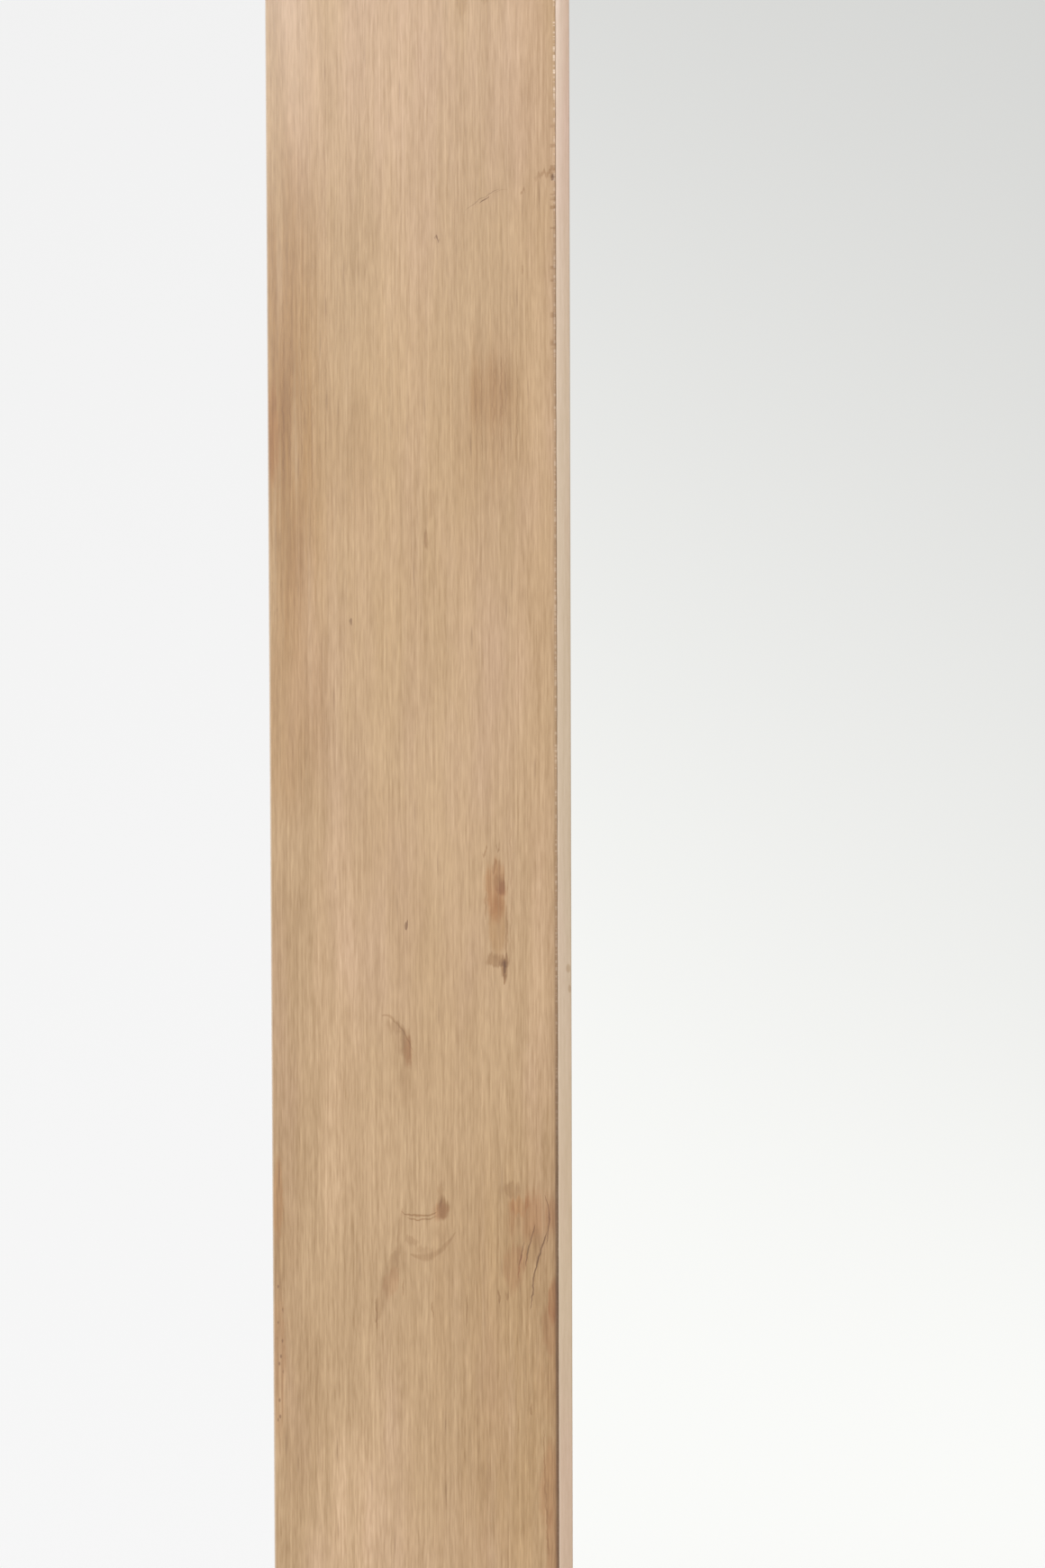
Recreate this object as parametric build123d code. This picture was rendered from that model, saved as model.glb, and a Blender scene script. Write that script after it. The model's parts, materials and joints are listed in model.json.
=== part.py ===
from build123d import *
from math import radians, sin
import os

# Cheval floor mirror, in millimetres. A mitred wooden frame holds the pane and
# hangs between two posts on clamping pivots. +X is to the right as seen from
# the front, the front faces -Y, +Z is up, and the origin is on the floor in
# the middle of the stand.

# ---- mirror frame ----
FRAME_WIDTH = 500
FRAME_HEIGHT = 1500
FRAME_DEPTH = 24
FRAME_BOTTOM = 140          # height of the frame's lower edge above the floor
BOARD_WIDTH = 45            # face width of each stile and rail
ARRIS = 0.5                 # radius worn on the board's long outer arrises
INNER_ARRIS = 0.15          # radius of the arris beside the slip
LIP_DEPTH = 9               # wood in front of the glass
SLIP_WIDTH = 2.2            # slip along the board's inner edge
SLIP_ARRIS = 0.25
GLASS_REBATE = 36           # from the board's outer edge to the glass rebate
SHELF_DEPTH = 17            # from the front face to the shelf the panel lies on
PANEL_REBATE = 22           # from the board's outer edge to the panel rebate

# ---- what the frame holds ----
GLASS_THICK = 4
GLASS_EDGE = 37             # from the frame's outer edge to the glass edge
GLASS_SEAM = 0.4            # ground chamfer round the pane
SPACER_LENGTH = 30
SPACER_OFFSET = 120
FOAM_WIDTH = 10
FOAM_EDGE = 38
PANEL_THICK = 4
PANEL_EDGE = 22.5
SCREW_LINE = 29             # from the frame's outer edge to the panel screws
SCREW_END_GAP = 60          # from a corner to the first screw on a stile
SCREWS_PER_STILE = 6
RAIL_SCREW_OFFSET = 100
SCREW_R = 1.5
SCREW_HEAD_R = 3.5
SCREW_HEAD = 2
SCREW_GRIP = 10             # how far a screw goes into the shelf
SPLINE_START = 14           # along the mitre from the outer corner
SPLINE_LENGTH = 36
SPLINE_WIDTH = 24
SPLINE_THICK = 3

# ---- stand ----
POST_WIDTH = 30             # along X
POST_DEPTH = 44             # along Y
POST_TOP = 960
POST_INNER = 256            # from the middle plane to the post's inner face
WOOD_ROUND = 2              # rounding on the stand's long arrises
FOOT_WIDTH = 34
FOOT_LENGTH = 420
FOOT_THICK = 45             # under the post
FOOT_TIP = 20               # at the ends
FOOT_FLAT = 30              # half length of the flat under the post
FOOT_NOSE_R = 8
FOOT_HEEL_R = 4
PAD_R = 13
PAD_THICK = 3
PAD_OFFSET = 178
STRETCHER_THICK = 18
STRETCHER_BOTTOM = 58
STRETCHER_HEIGHT = 68

# ---- stand fasteners ----
BOLT_R = 3
BOLT_HEAD_R = 7
BOLT_HEAD = 3
HEAD_POCKET_R = 7.5
NUT_R = 5
FOOT_POCKET = 12
FOOT_BOLT_OFFSET = 14.5
FOOT_BOLT_LENGTH = 70
FOOT_NUT_Z = 76
FOOT_NUT_LENGTH = 20
SIDE_BOLT_Z = 92
SIDE_POCKET = 5
SIDE_BOLT_LENGTH = 60
SIDE_NUT_INSET = 28         # from the stretcher's end to its barrel nut
SIDE_NUT_LENGTH = 14
DOWEL_R = 4
DOWEL_LENGTH = 28
DOWEL_OFFSET = 22           # above and below the side bolt
CAP_THICK = 2
HOLE_ROOM = 0.15            # clearance round bolts

# ---- pivots ----
PIVOT_Z = 905
INSERT_R = 6
INSERT_LENGTH = 18
WASHER_R = 11               # washers between the stile and the post
STILE_WASHER = 1.5
NYLON_WASHER = 3
BUSH_R = 6
BUSH_FLANGE = 1.5
STUD_R = 4
STUD_ROOM = 0.05            # running clearance in the bush and insert
STUD_GRIP = 14              # thread engaged in the insert
STUD_IN_KNOB = 18
WASHER_ROOM = 0.15
KNOB_WASHER_R = 12
KNOB_WASHER = 1.5
KNOB_LENGTH = 30
KNOB_COLLAR_R = 12
KNOB_COLLAR = 3
KNOB_COVE = 6               # length of the cove behind the head
KNOB_NECK_R = 9.8
KNOB_HEAD_R = 19
KNOB_CROWN = 10             # length of the domed end

HALF_WIDTH = FRAME_WIDTH / 2
FRONT_Y = -FRAME_DEPTH / 2
BACK_Y = FRAME_DEPTH / 2
GLASS_Y = FRONT_Y + LIP_DEPTH
GLASS_BACK_Y = GLASS_Y + GLASS_THICK
SHELF_Y = FRONT_Y + SHELF_DEPTH
FRAME_TOP = FRAME_BOTTOM + FRAME_HEIGHT
FRAME_MIDDLE = FRAME_BOTTOM + FRAME_HEIGHT / 2
POST_MIDDLE = POST_INNER + POST_WIDTH / 2
POST_OUTER = POST_INNER + POST_WIDTH
FOOT_TOP = PAD_THICK + FOOT_THICK
SIDES = {"left": -1, "right": 1}


def block(low, high):
    """Box between two opposite corners."""
    size = [b - a for a, b in zip(low, high)]
    middle = [(a + b) / 2 for a, b in zip(low, high)]
    return Pos(*middle) * Box(*size)


def rod(point, direction, radius, length):
    """Cylinder that starts at point and runs along direction."""
    start = Plane(origin=point, z_dir=direction)
    return start * Cylinder(radius, length, align=(Align.CENTER, Align.CENTER, Align.MIN))


def corner_at(sketch, point):
    """The sketch's corner nearest to point."""
    return sketch.vertices().sort_by_distance((*point, 0))[0]


def solids(pieces):
    """One shape that keeps every piece as its own solid."""
    return Compound(children=[piece.solid() for piece in pieces])


def on_left(shape):
    """The mirror image of a right-hand piece."""
    return mirror(shape, Plane.YZ)


# ---- mitred boards and slips ----

def mitred(section, inner, outer, length):
    """A section extruded along Z and cut to mitres at both ends."""
    bar = extrude(section, length)
    cut = Polygon(
        (outer, outer), (inner, inner), (inner, length - inner), (outer, length - outer), align=None
    )
    return bar & extrude(Plane.XZ * cut, FRAME_DEPTH, both=True)


def board_section():
    """Stepped section of a stile or rail, outer edge at X 0, front at -Y."""
    section = Polygon(
        (0, FRONT_Y), (BOARD_WIDTH, FRONT_Y), (BOARD_WIDTH, GLASS_Y), (GLASS_REBATE, GLASS_Y),
        (GLASS_REBATE, SHELF_Y), (PANEL_REBATE, SHELF_Y), (PANEL_REBATE, BACK_Y), (0, BACK_Y),
        align=None,
    )
    section = fillet(corner_at(section, (0, FRONT_Y)), ARRIS)
    section = fillet(corner_at(section, (0, BACK_Y)), ARRIS)
    return fillet(corner_at(section, (BOARD_WIDTH, FRONT_Y)), INNER_ARRIS)


def slip_section():
    """Section of the narrow slip on the board's inner edge."""
    sight = BOARD_WIDTH + SLIP_WIDTH
    section = Polygon(
        (BOARD_WIDTH, FRONT_Y), (sight, FRONT_Y), (sight, GLASS_Y), (BOARD_WIDTH, GLASS_Y),
        align=None,
    )
    section = fillet(corner_at(section, (BOARD_WIDTH, FRONT_Y)), SLIP_ARRIS)
    return fillet(corner_at(section, (sight, FRONT_Y)), SLIP_ARRIS)


# Where a board made along +Z goes in the frame
FRAME_PLACES = {
    "left": (FRAME_HEIGHT, Pos(-HALF_WIDTH, 0, FRAME_BOTTOM)),
    "right": (FRAME_HEIGHT, Pos(HALF_WIDTH, 0, FRAME_TOP) * Rot(0, 180, 0)),
    "top": (FRAME_WIDTH, Pos(-HALF_WIDTH, 0, FRAME_TOP) * Rot(0, 90, 0)),
    "bottom": (FRAME_WIDTH, Pos(HALF_WIDTH, 0, FRAME_BOTTOM) * Rot(0, -90, 0)),
}


def corner_splines():
    """Flat splines set across the four mitres."""
    along = (SPLINE_START + SPLINE_LENGTH / 2) * sin(radians(45))
    mid_y = FRONT_Y + LIP_DEPTH / 2
    pieces = []
    for x_side in (-1, 1):
        for z_side in (-1, 1):
            x = x_side * (HALF_WIDTH - along)
            z = FRAME_MIDDLE + z_side * (FRAME_HEIGHT / 2 - along)
            turn = -45 * x_side * z_side
            spline = Box(SPLINE_LENGTH, SPLINE_THICK, SPLINE_WIDTH)
            pieces.append(Pos(x, mid_y, z) * Rot(0, turn, 0) * spline)
    return pieces


def screw_points():
    """X and Z of each back panel screw."""
    span = FRAME_HEIGHT - 2 * SCREW_END_GAP
    step = span / (SCREWS_PER_STILE - 1)
    points = []
    for side in (-1, 1):
        for row in range(SCREWS_PER_STILE):
            z = FRAME_BOTTOM + SCREW_END_GAP + row * step
            points.append((side * (HALF_WIDTH - SCREW_LINE), z))
        for x in (-RAIL_SCREW_OFFSET, RAIL_SCREW_OFFSET):
            points.append((x, FRAME_MIDDLE + side * (FRAME_HEIGHT / 2 - SCREW_LINE)))
    return points


def screw_holes(radius):
    """Straight holes on every screw, from the panel's back to the screw's tip."""
    depth = PANEL_THICK + SCREW_GRIP
    back = SHELF_Y + PANEL_THICK
    return [rod((x, back, z), (0, -1, 0), radius, depth) for x, z in screw_points()]


def panel_screws():
    """Pan-head screws with a cross recess, heads on the panel's back."""
    back = SHELF_Y + PANEL_THICK
    pieces = []
    for x, z in screw_points():
        head = rod((x, back, z), (0, 1, 0), SCREW_HEAD_R, SCREW_HEAD)
        head = fillet(head.edges().group_by(Axis.Y)[-1], SCREW_HEAD * 0.45)
        screw = head + rod((x, back, z), (0, -1, 0), SCREW_R, PANEL_THICK + SCREW_GRIP)
        recess = Box(3.6, SCREW_HEAD, 0.7) + Box(0.7, SCREW_HEAD, 3.6)
        pieces.append(screw - Pos(x, back + SCREW_HEAD * 1.2, z) * recess)
    return pieces


def pivot_hole(side):
    """Hole for the threaded insert in a stile's outer edge."""
    return rod((side * HALF_WIDTH, 0, PIVOT_Z), (-side, 0, 0), INSERT_R, INSERT_LENGTH)


def frame_boards():
    """The four mitred boards, with their slots, pilot holes and insert holes."""
    names = {"left": "stile_left", "right": "stile_right", "top": "rail_top", "bottom": "rail_bottom"}
    boards = {}
    for where, (length, place) in FRAME_PLACES.items():
        board = place * mitred(board_section(), BOARD_WIDTH, 0, length)
        for slot in corner_splines():
            board -= slot
        for hole in screw_holes(SCREW_R):
            board -= hole
        if where in SIDES:
            board -= pivot_hole(SIDES[where])
        boards[names[where]] = board
    return boards


def frame_slips():
    """The four slips, mitred like the boards they are glued to."""
    slips = {}
    for where, (length, place) in FRAME_PLACES.items():
        inner = BOARD_WIDTH + SLIP_WIDTH
        slips["slip_" + where] = place * mitred(slip_section(), inner, BOARD_WIDTH, length)
    return slips


# ---- pane, packing and back ----

def mirror_glass():
    """The pane, with its edges seamed."""
    half = HALF_WIDTH - GLASS_EDGE
    pane = block(
        (-half, GLASS_Y, FRAME_BOTTOM + GLASS_EDGE), (half, GLASS_BACK_Y, FRAME_TOP - GLASS_EDGE)
    )
    return chamfer(pane.edges().filter_by(Axis.Y, reverse=True), GLASS_SEAM)


def glass_spacers():
    """Blocks between the pane's top and bottom edges and the rebate."""
    pieces = []
    for x in (-SPACER_OFFSET, SPACER_OFFSET):
        for outer, inner in ((FRAME_BOTTOM, 1), (FRAME_TOP, -1)):
            ends = sorted((outer + inner * GLASS_REBATE, outer + inner * GLASS_EDGE))
            low = (x - SPACER_LENGTH / 2, GLASS_Y, ends[0])
            pieces.append(block(low, (x + SPACER_LENGTH / 2, GLASS_BACK_Y, ends[1])))
    return solids(pieces)


def foam_strips():
    """Strips that press the pane forward, two upright and two across."""
    outer_x = HALF_WIDTH - FOAM_EDGE
    low_z = FRAME_BOTTOM + FOAM_EDGE
    high_z = FRAME_TOP - FOAM_EDGE
    pieces = []
    for side in (-1, 1):
        ends = sorted((side * outer_x, side * (outer_x - FOAM_WIDTH)))
        pieces.append(block((ends[0], GLASS_BACK_Y, low_z), (ends[1], SHELF_Y, high_z)))
    inner_x = outer_x - FOAM_WIDTH
    for start in (low_z, high_z - FOAM_WIDTH):
        low = (-inner_x, GLASS_BACK_Y, start)
        pieces.append(block(low, (inner_x, SHELF_Y, start + FOAM_WIDTH)))
    return solids(pieces)


def back_panel():
    """Thin panel in its own rebate, drilled for the screws."""
    half = HALF_WIDTH - PANEL_EDGE
    low = (-half, SHELF_Y, FRAME_BOTTOM + PANEL_EDGE)
    panel = block(low, (half, SHELF_Y + PANEL_THICK, FRAME_TOP - PANEL_EDGE))
    for hole in screw_holes(SCREW_R):
        panel -= hole
    return panel


# ---- stand ----

def foot():
    """Right foot: flat below, two gentle ogees above, seen from the side."""
    half = FOOT_LENGTH / 2
    slope_end = half - FOOT_NOSE_R
    tip_top = PAD_THICK + FOOT_TIP
    mid = ((FOOT_FLAT + slope_end) / 2, (FOOT_TOP + tip_top) / 2)
    upper = TangentArc((FOOT_FLAT, FOOT_TOP), mid, tangent=(1, 0))
    lower = TangentArc(mid, (slope_end, tip_top), tangent=upper % 1)
    nose = TangentArc((slope_end, tip_top), (half, tip_top - FOOT_NOSE_R), tangent=(1, 0))
    front = Line((half, tip_top - FOOT_NOSE_R), (half, PAD_THICK + FOOT_HEEL_R))
    heel = TangentArc(front @ 1, (half - FOOT_HEEL_R, PAD_THICK), tangent=(0, -1))
    base = Line(heel @ 1, (0, PAD_THICK))
    rise = Line((0, PAD_THICK), (0, FOOT_TOP))
    top = Line((0, FOOT_TOP), (FOOT_FLAT, FOOT_TOP))
    outline = make_face([upper, lower, nose, front, heel, base, rise, top])
    outline += mirror(outline, Plane.YZ)
    shape = extrude(Plane.YZ * outline, FOOT_WIDTH / 2, both=True)
    shape = fillet(shape.faces().sort_by(Axis.X)[-1].edges(), WOOD_ROUND)
    shape = fillet(shape.faces().sort_by(Axis.X)[0].edges(), WOOD_ROUND)
    shape = Pos(POST_MIDDLE, 0, 0) * shape
    for y in (-FOOT_BOLT_OFFSET, FOOT_BOLT_OFFSET):
        shape -= rod((POST_MIDDLE, y, 0), (0, 0, 1), HEAD_POCKET_R, PAD_THICK + FOOT_POCKET)
        shape -= rod((POST_MIDDLE, y, 0), (0, 0, 1), BOLT_R + HOLE_ROOM, FOOT_TOP)
    return shape


def post():
    """Right post: round-topped, bored for the bush, bolts, nuts and dowels."""
    half = POST_DEPTH / 2
    body = block((POST_INNER, -half, FOOT_TOP), (POST_OUTER, half, POST_TOP - half))
    body += rod((POST_INNER, 0, POST_TOP - half), (1, 0, 0), half, POST_WIDTH)
    long_edges = [
        edge
        for face in (body.faces().sort_by(Axis.X)[0], body.faces().sort_by(Axis.X)[-1])
        for edge in face.edges()
        if edge.center().Z > FOOT_TOP
    ]
    body = fillet(long_edges, WOOD_ROUND)
    body -= rod((POST_INNER, 0, PIVOT_Z), (1, 0, 0), BUSH_R, POST_WIDTH)
    for y in (-FOOT_BOLT_OFFSET, FOOT_BOLT_OFFSET):
        bolt_start = (POST_MIDDLE, y, FOOT_TOP)
        depth = PAD_THICK + FOOT_POCKET + FOOT_BOLT_LENGTH - FOOT_TOP
        body -= rod(bolt_start, (0, 0, 1), BOLT_R + HOLE_ROOM, depth)
        body -= rod((POST_INNER, y, FOOT_NUT_Z), (1, 0, 0), NUT_R, nut_hole_depth())
    body -= rod((POST_OUTER, 0, SIDE_BOLT_Z), (-1, 0, 0), HEAD_POCKET_R, SIDE_POCKET)
    body -= rod((POST_OUTER, 0, SIDE_BOLT_Z), (-1, 0, 0), BOLT_R + HOLE_ROOM, POST_WIDTH)
    for dowel in dowel_pair():
        body -= dowel
    return body


def nut_hole_depth():
    """Depth of the hole that takes a foot bolt's barrel nut."""
    return POST_WIDTH / 2 + FOOT_NUT_LENGTH / 2


def foot_bolts():
    """Right-hand pair of bolts that rise through the foot into the post."""
    seat = PAD_THICK + FOOT_POCKET
    pieces = []
    for y in (-FOOT_BOLT_OFFSET, FOOT_BOLT_OFFSET):
        head = rod((POST_MIDDLE, y, seat), (0, 0, -1), BOLT_HEAD_R, BOLT_HEAD)
        shank = rod((POST_MIDDLE, y, seat), (0, 0, 1), BOLT_R, FOOT_BOLT_LENGTH)
        socket = Plane((POST_MIDDLE, y, seat - BOLT_HEAD)) * RegularPolygon(2.3, 6)
        pieces.append(head + shank - extrude(socket, BOLT_HEAD * 0.7))
    return pieces


def barrel_nut(point, direction, length):
    """Barrel nut before its cross hole is cut."""
    return rod(point, direction, NUT_R, length)


def foot_barrel_nuts():
    """Right-hand pair of barrel nuts in the post's lower end."""
    pieces = []
    for y in (-FOOT_BOLT_OFFSET, FOOT_BOLT_OFFSET):
        start = (POST_MIDDLE - FOOT_NUT_LENGTH / 2, y, FOOT_NUT_Z)
        nut = barrel_nut(start, (1, 0, 0), FOOT_NUT_LENGTH)
        pieces.append(nut - rod((POST_MIDDLE, y, 0), (0, 0, 1), BOLT_R, FOOT_NUT_Z * 2))
    return pieces


def dowel_pair():
    """Right-hand dowels between the post and the stretcher's end."""
    start_x = POST_INNER - DOWEL_LENGTH / 2
    return [
        rod((start_x, 0, SIDE_BOLT_Z + offset), (1, 0, 0), DOWEL_R, DOWEL_LENGTH)
        for offset in (-DOWEL_OFFSET, DOWEL_OFFSET)
    ]


def side_bolt():
    """Right-hand bolt through the post into the stretcher."""
    seat = POST_OUTER - SIDE_POCKET
    head = rod((seat, 0, SIDE_BOLT_Z), (1, 0, 0), BOLT_HEAD_R, BOLT_HEAD)
    shank = rod((seat, 0, SIDE_BOLT_Z), (-1, 0, 0), BOLT_R, SIDE_BOLT_LENGTH)
    socket_plane = Plane((seat + BOLT_HEAD, 0, SIDE_BOLT_Z), z_dir=(-1, 0, 0))
    return head + shank - extrude(socket_plane * RegularPolygon(2.3, 6), BOLT_HEAD * 0.7)


def side_nut():
    """Right-hand barrel nut in the stretcher."""
    x = POST_INNER - SIDE_NUT_INSET
    nut = barrel_nut((x, -SIDE_NUT_LENGTH / 2, SIDE_BOLT_Z), (0, 1, 0), SIDE_NUT_LENGTH)
    return nut - rod((POST_OUTER, 0, SIDE_BOLT_Z), (-1, 0, 0), BOLT_R, POST_OUTER)


def bolt_cap():
    """Right-hand cap over the side bolt's head."""
    cap = rod((POST_OUTER, 0, SIDE_BOLT_Z), (-1, 0, 0), HEAD_POCKET_R, CAP_THICK)
    return fillet(cap.edges().group_by(Axis.X)[-1], 0.4)


def stretcher():
    """Board between the posts, drilled at both ends."""
    half = STRETCHER_THICK / 2
    low = (-POST_INNER, -half, STRETCHER_BOTTOM)
    board = block(low, (POST_INNER, half, STRETCHER_BOTTOM + STRETCHER_HEIGHT))
    board = fillet(board.edges().filter_by(Axis.X), WOOD_ROUND)
    x = POST_INNER - SIDE_NUT_INSET
    depth = SIDE_BOLT_LENGTH - (POST_WIDTH - SIDE_POCKET)
    cuts = dowel_pair()
    cuts.append(rod((POST_INNER, 0, SIDE_BOLT_Z), (-1, 0, 0), BOLT_R + HOLE_ROOM, depth))
    cuts.append(rod((x, half, SIDE_BOLT_Z), (0, -1, 0), NUT_R, half + SIDE_NUT_LENGTH / 2))
    for cut in cuts:
        board -= cut
        board -= on_left(cut)
    return board


def foot_pads():
    """Round pads under the ends of the feet."""
    pieces = []
    for x in (-POST_MIDDLE, POST_MIDDLE):
        for y in (-PAD_OFFSET, PAD_OFFSET):
            pad = rod((x, y, 0), (0, 0, 1), PAD_R, PAD_THICK)
            pieces.append(fillet(pad.edges().group_by(Axis.Z)[0], 0.6))
    return solids(pieces)


# ---- pivots, each made for the right and mirrored for the left ----

def ring(start_x, thickness, outer_r, inner_r):
    """Washer whose inner side is at start_x, on the pivot axis."""
    outer = rod((start_x, 0, PIVOT_Z), (1, 0, 0), outer_r, thickness)
    return outer - rod((start_x, 0, PIVOT_Z), (1, 0, 0), inner_r, thickness)


def pivot_insert():
    """Threaded insert flush with the stile's outer edge."""
    start = HALF_WIDTH - INSERT_LENGTH
    return ring(start, INSERT_LENGTH, INSERT_R, STUD_R + STUD_ROOM)


def stile_washer():
    """Steel wear washer on the stile's outer edge."""
    return ring(HALF_WIDTH, STILE_WASHER, WASHER_R, STUD_R + WASHER_ROOM)


def friction_washer():
    """Nylon washer that the clamped stile turns against."""
    return ring(HALF_WIDTH + STILE_WASHER, NYLON_WASHER, WASHER_R, STUD_R + WASHER_ROOM)


def pivot_bush():
    """Bush through the post, its flange on the inner face."""
    flange = ring(POST_INNER - BUSH_FLANGE, BUSH_FLANGE, WASHER_R, STUD_R + STUD_ROOM)
    return flange + ring(POST_INNER, POST_WIDTH, BUSH_R, STUD_R + STUD_ROOM)


def knob_washer():
    """Loose washer between the knob and the post."""
    washer = ring(POST_OUTER, KNOB_WASHER, KNOB_WASHER_R, STUD_R + WASHER_ROOM)
    return fillet(washer.edges().group_by(Axis.X)[-1].sort_by(SortBy.LENGTH)[-1], 0.4)


def knob_stud():
    """Threaded stud fixed in the knob and screwed into the insert."""
    end = POST_OUTER + KNOB_WASHER + STUD_IN_KNOB
    start = HALF_WIDTH - STUD_GRIP
    stud = rod((start, 0, PIVOT_Z), (1, 0, 0), STUD_R, end - start)
    return chamfer(stud.edges().group_by(Axis.X)[0], 0.6)


def knob():
    """Turned knob: collar, cove and a domed mushroom head."""
    cove_end = KNOB_COLLAR + KNOB_COVE
    widest = KNOB_LENGTH - KNOB_CROWN
    cove_mid = (KNOB_COLLAR + KNOB_COVE / 2, KNOB_NECK_R)
    face_edge = Line((0, 0), (0, KNOB_COLLAR_R))
    collar = Line(face_edge @ 1, (KNOB_COLLAR, KNOB_COLLAR_R))
    cove = ThreePointArc(collar @ 1, cove_mid, (cove_end, KNOB_COLLAR_R))
    swell = TangentArc((widest, KNOB_HEAD_R), cove @ 1, tangent=(-1, 0))
    crown = Bezier(
        (widest, KNOB_HEAD_R), (widest + KNOB_CROWN * 0.7, KNOB_HEAD_R),
        (KNOB_LENGTH, KNOB_HEAD_R * 0.45), (KNOB_LENGTH, 0),
    )
    centre = Line((KNOB_LENGTH, 0), (0, 0))
    profile = make_face([face_edge, collar, cove, swell, crown, centre])
    turned = revolve(profile, Axis.X)
    bored = turned - rod((0, 0, 0), (1, 0, 0), STUD_R, STUD_IN_KNOB)
    return Pos(POST_OUTER + KNOB_WASHER, 0, PIVOT_Z) * bored


def both_sides(pieces):
    """Right-hand pieces and their mirror images, as one shape."""
    return solids(list(pieces) + [on_left(piece) for piece in pieces])


def build_parts():
    """Every sub-part by its node's name."""
    parts = {}
    parts.update(frame_boards())
    parts.update(frame_slips())
    parts["corner_splines"] = solids(corner_splines())
    parts["mirror_glass"] = mirror_glass()
    parts["glass_spacers"] = glass_spacers()
    parts["foam_strips"] = foam_strips()
    parts["back_panel"] = back_panel()
    parts["panel_screws"] = solids(panel_screws())
    parts["pivot_inserts"] = both_sides([pivot_insert()])
    parts["stile_washers"] = both_sides([stile_washer()])
    parts["friction_washers"] = both_sides([friction_washer()])
    parts["pivot_bushes"] = both_sides([pivot_bush()])
    parts["stretcher"] = stretcher()
    parts["foot_pads"] = foot_pads()
    parts["foot_bolts"] = both_sides(foot_bolts())
    parts["foot_barrel_nuts"] = both_sides(foot_barrel_nuts())
    parts["stretcher_bolts"] = both_sides([side_bolt()])
    parts["stretcher_barrel_nuts"] = both_sides([side_nut()])
    parts["stretcher_dowels"] = both_sides(dowel_pair())
    parts["bolt_caps"] = both_sides([bolt_cap()])
    handed = {
        "post": post(), "foot": foot(), "knob": knob(), "knob_stud": knob_stud(),
        "knob_washer": knob_washer(),
    }
    for name, shape in handed.items():
        parts[name + "_right"] = shape
        parts[name + "_left"] = on_left(shape)
    return parts


os.makedirs("parts", exist_ok=True)
for node, shape in build_parts().items():
    export_step(shape, "parts/" + node + ".step")
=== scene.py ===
import json
from math import cos, pi, radians, sin

import bmesh
import bpy
from mathutils import Euler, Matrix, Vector, noise


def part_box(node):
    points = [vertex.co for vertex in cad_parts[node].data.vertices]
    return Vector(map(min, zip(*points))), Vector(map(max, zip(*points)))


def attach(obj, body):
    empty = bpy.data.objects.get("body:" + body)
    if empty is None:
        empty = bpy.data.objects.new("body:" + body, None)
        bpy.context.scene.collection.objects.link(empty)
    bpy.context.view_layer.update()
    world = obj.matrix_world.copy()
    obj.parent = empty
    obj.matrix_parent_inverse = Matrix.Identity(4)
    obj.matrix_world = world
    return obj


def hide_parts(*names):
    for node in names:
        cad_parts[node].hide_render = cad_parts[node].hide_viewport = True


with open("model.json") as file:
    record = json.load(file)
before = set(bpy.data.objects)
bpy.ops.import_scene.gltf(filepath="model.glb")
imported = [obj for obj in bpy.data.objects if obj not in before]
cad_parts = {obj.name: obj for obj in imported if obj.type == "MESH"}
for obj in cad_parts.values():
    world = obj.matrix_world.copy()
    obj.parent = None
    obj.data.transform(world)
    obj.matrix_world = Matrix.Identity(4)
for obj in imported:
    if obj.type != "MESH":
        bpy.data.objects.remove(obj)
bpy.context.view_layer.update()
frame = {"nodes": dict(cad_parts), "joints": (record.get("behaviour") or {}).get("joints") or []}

MM = 0.001

# ---- places, all read from the frame ----
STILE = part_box("stile_left")
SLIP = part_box("slip_left")
FRAME_LEFT = STILE[0][0]
FRAME_RIGHT = -FRAME_LEFT
FRAME_LOW = STILE[0][2]
FRAME_TOP = STILE[1][2]
FRONT = STILE[0][1]
BACK = STILE[1][1]
BOARD = STILE[1][0] - STILE[0][0]
SIGHT = SLIP[1][0] - FRAME_LEFT
LIP_BACK = SLIP[1][1]
PIVOT_Z = next(j["pos_m"][2] for j in frame["joints"] if j["name"] == "mirror_tilt")

# ---- the frame's section, as in the CAD ----
GLASS_REBATE = 36 * MM
SHELF_BACK = FRONT + 17 * MM
PANEL_REBATE = 22 * MM
OUTER_ARRIS = 0.5 * MM
SLIP_ARRIS = 0.28 * MM
JOINT_ARRIS = 0.16 * MM


# =====================================================================
# Shader building
# =====================================================================

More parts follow.
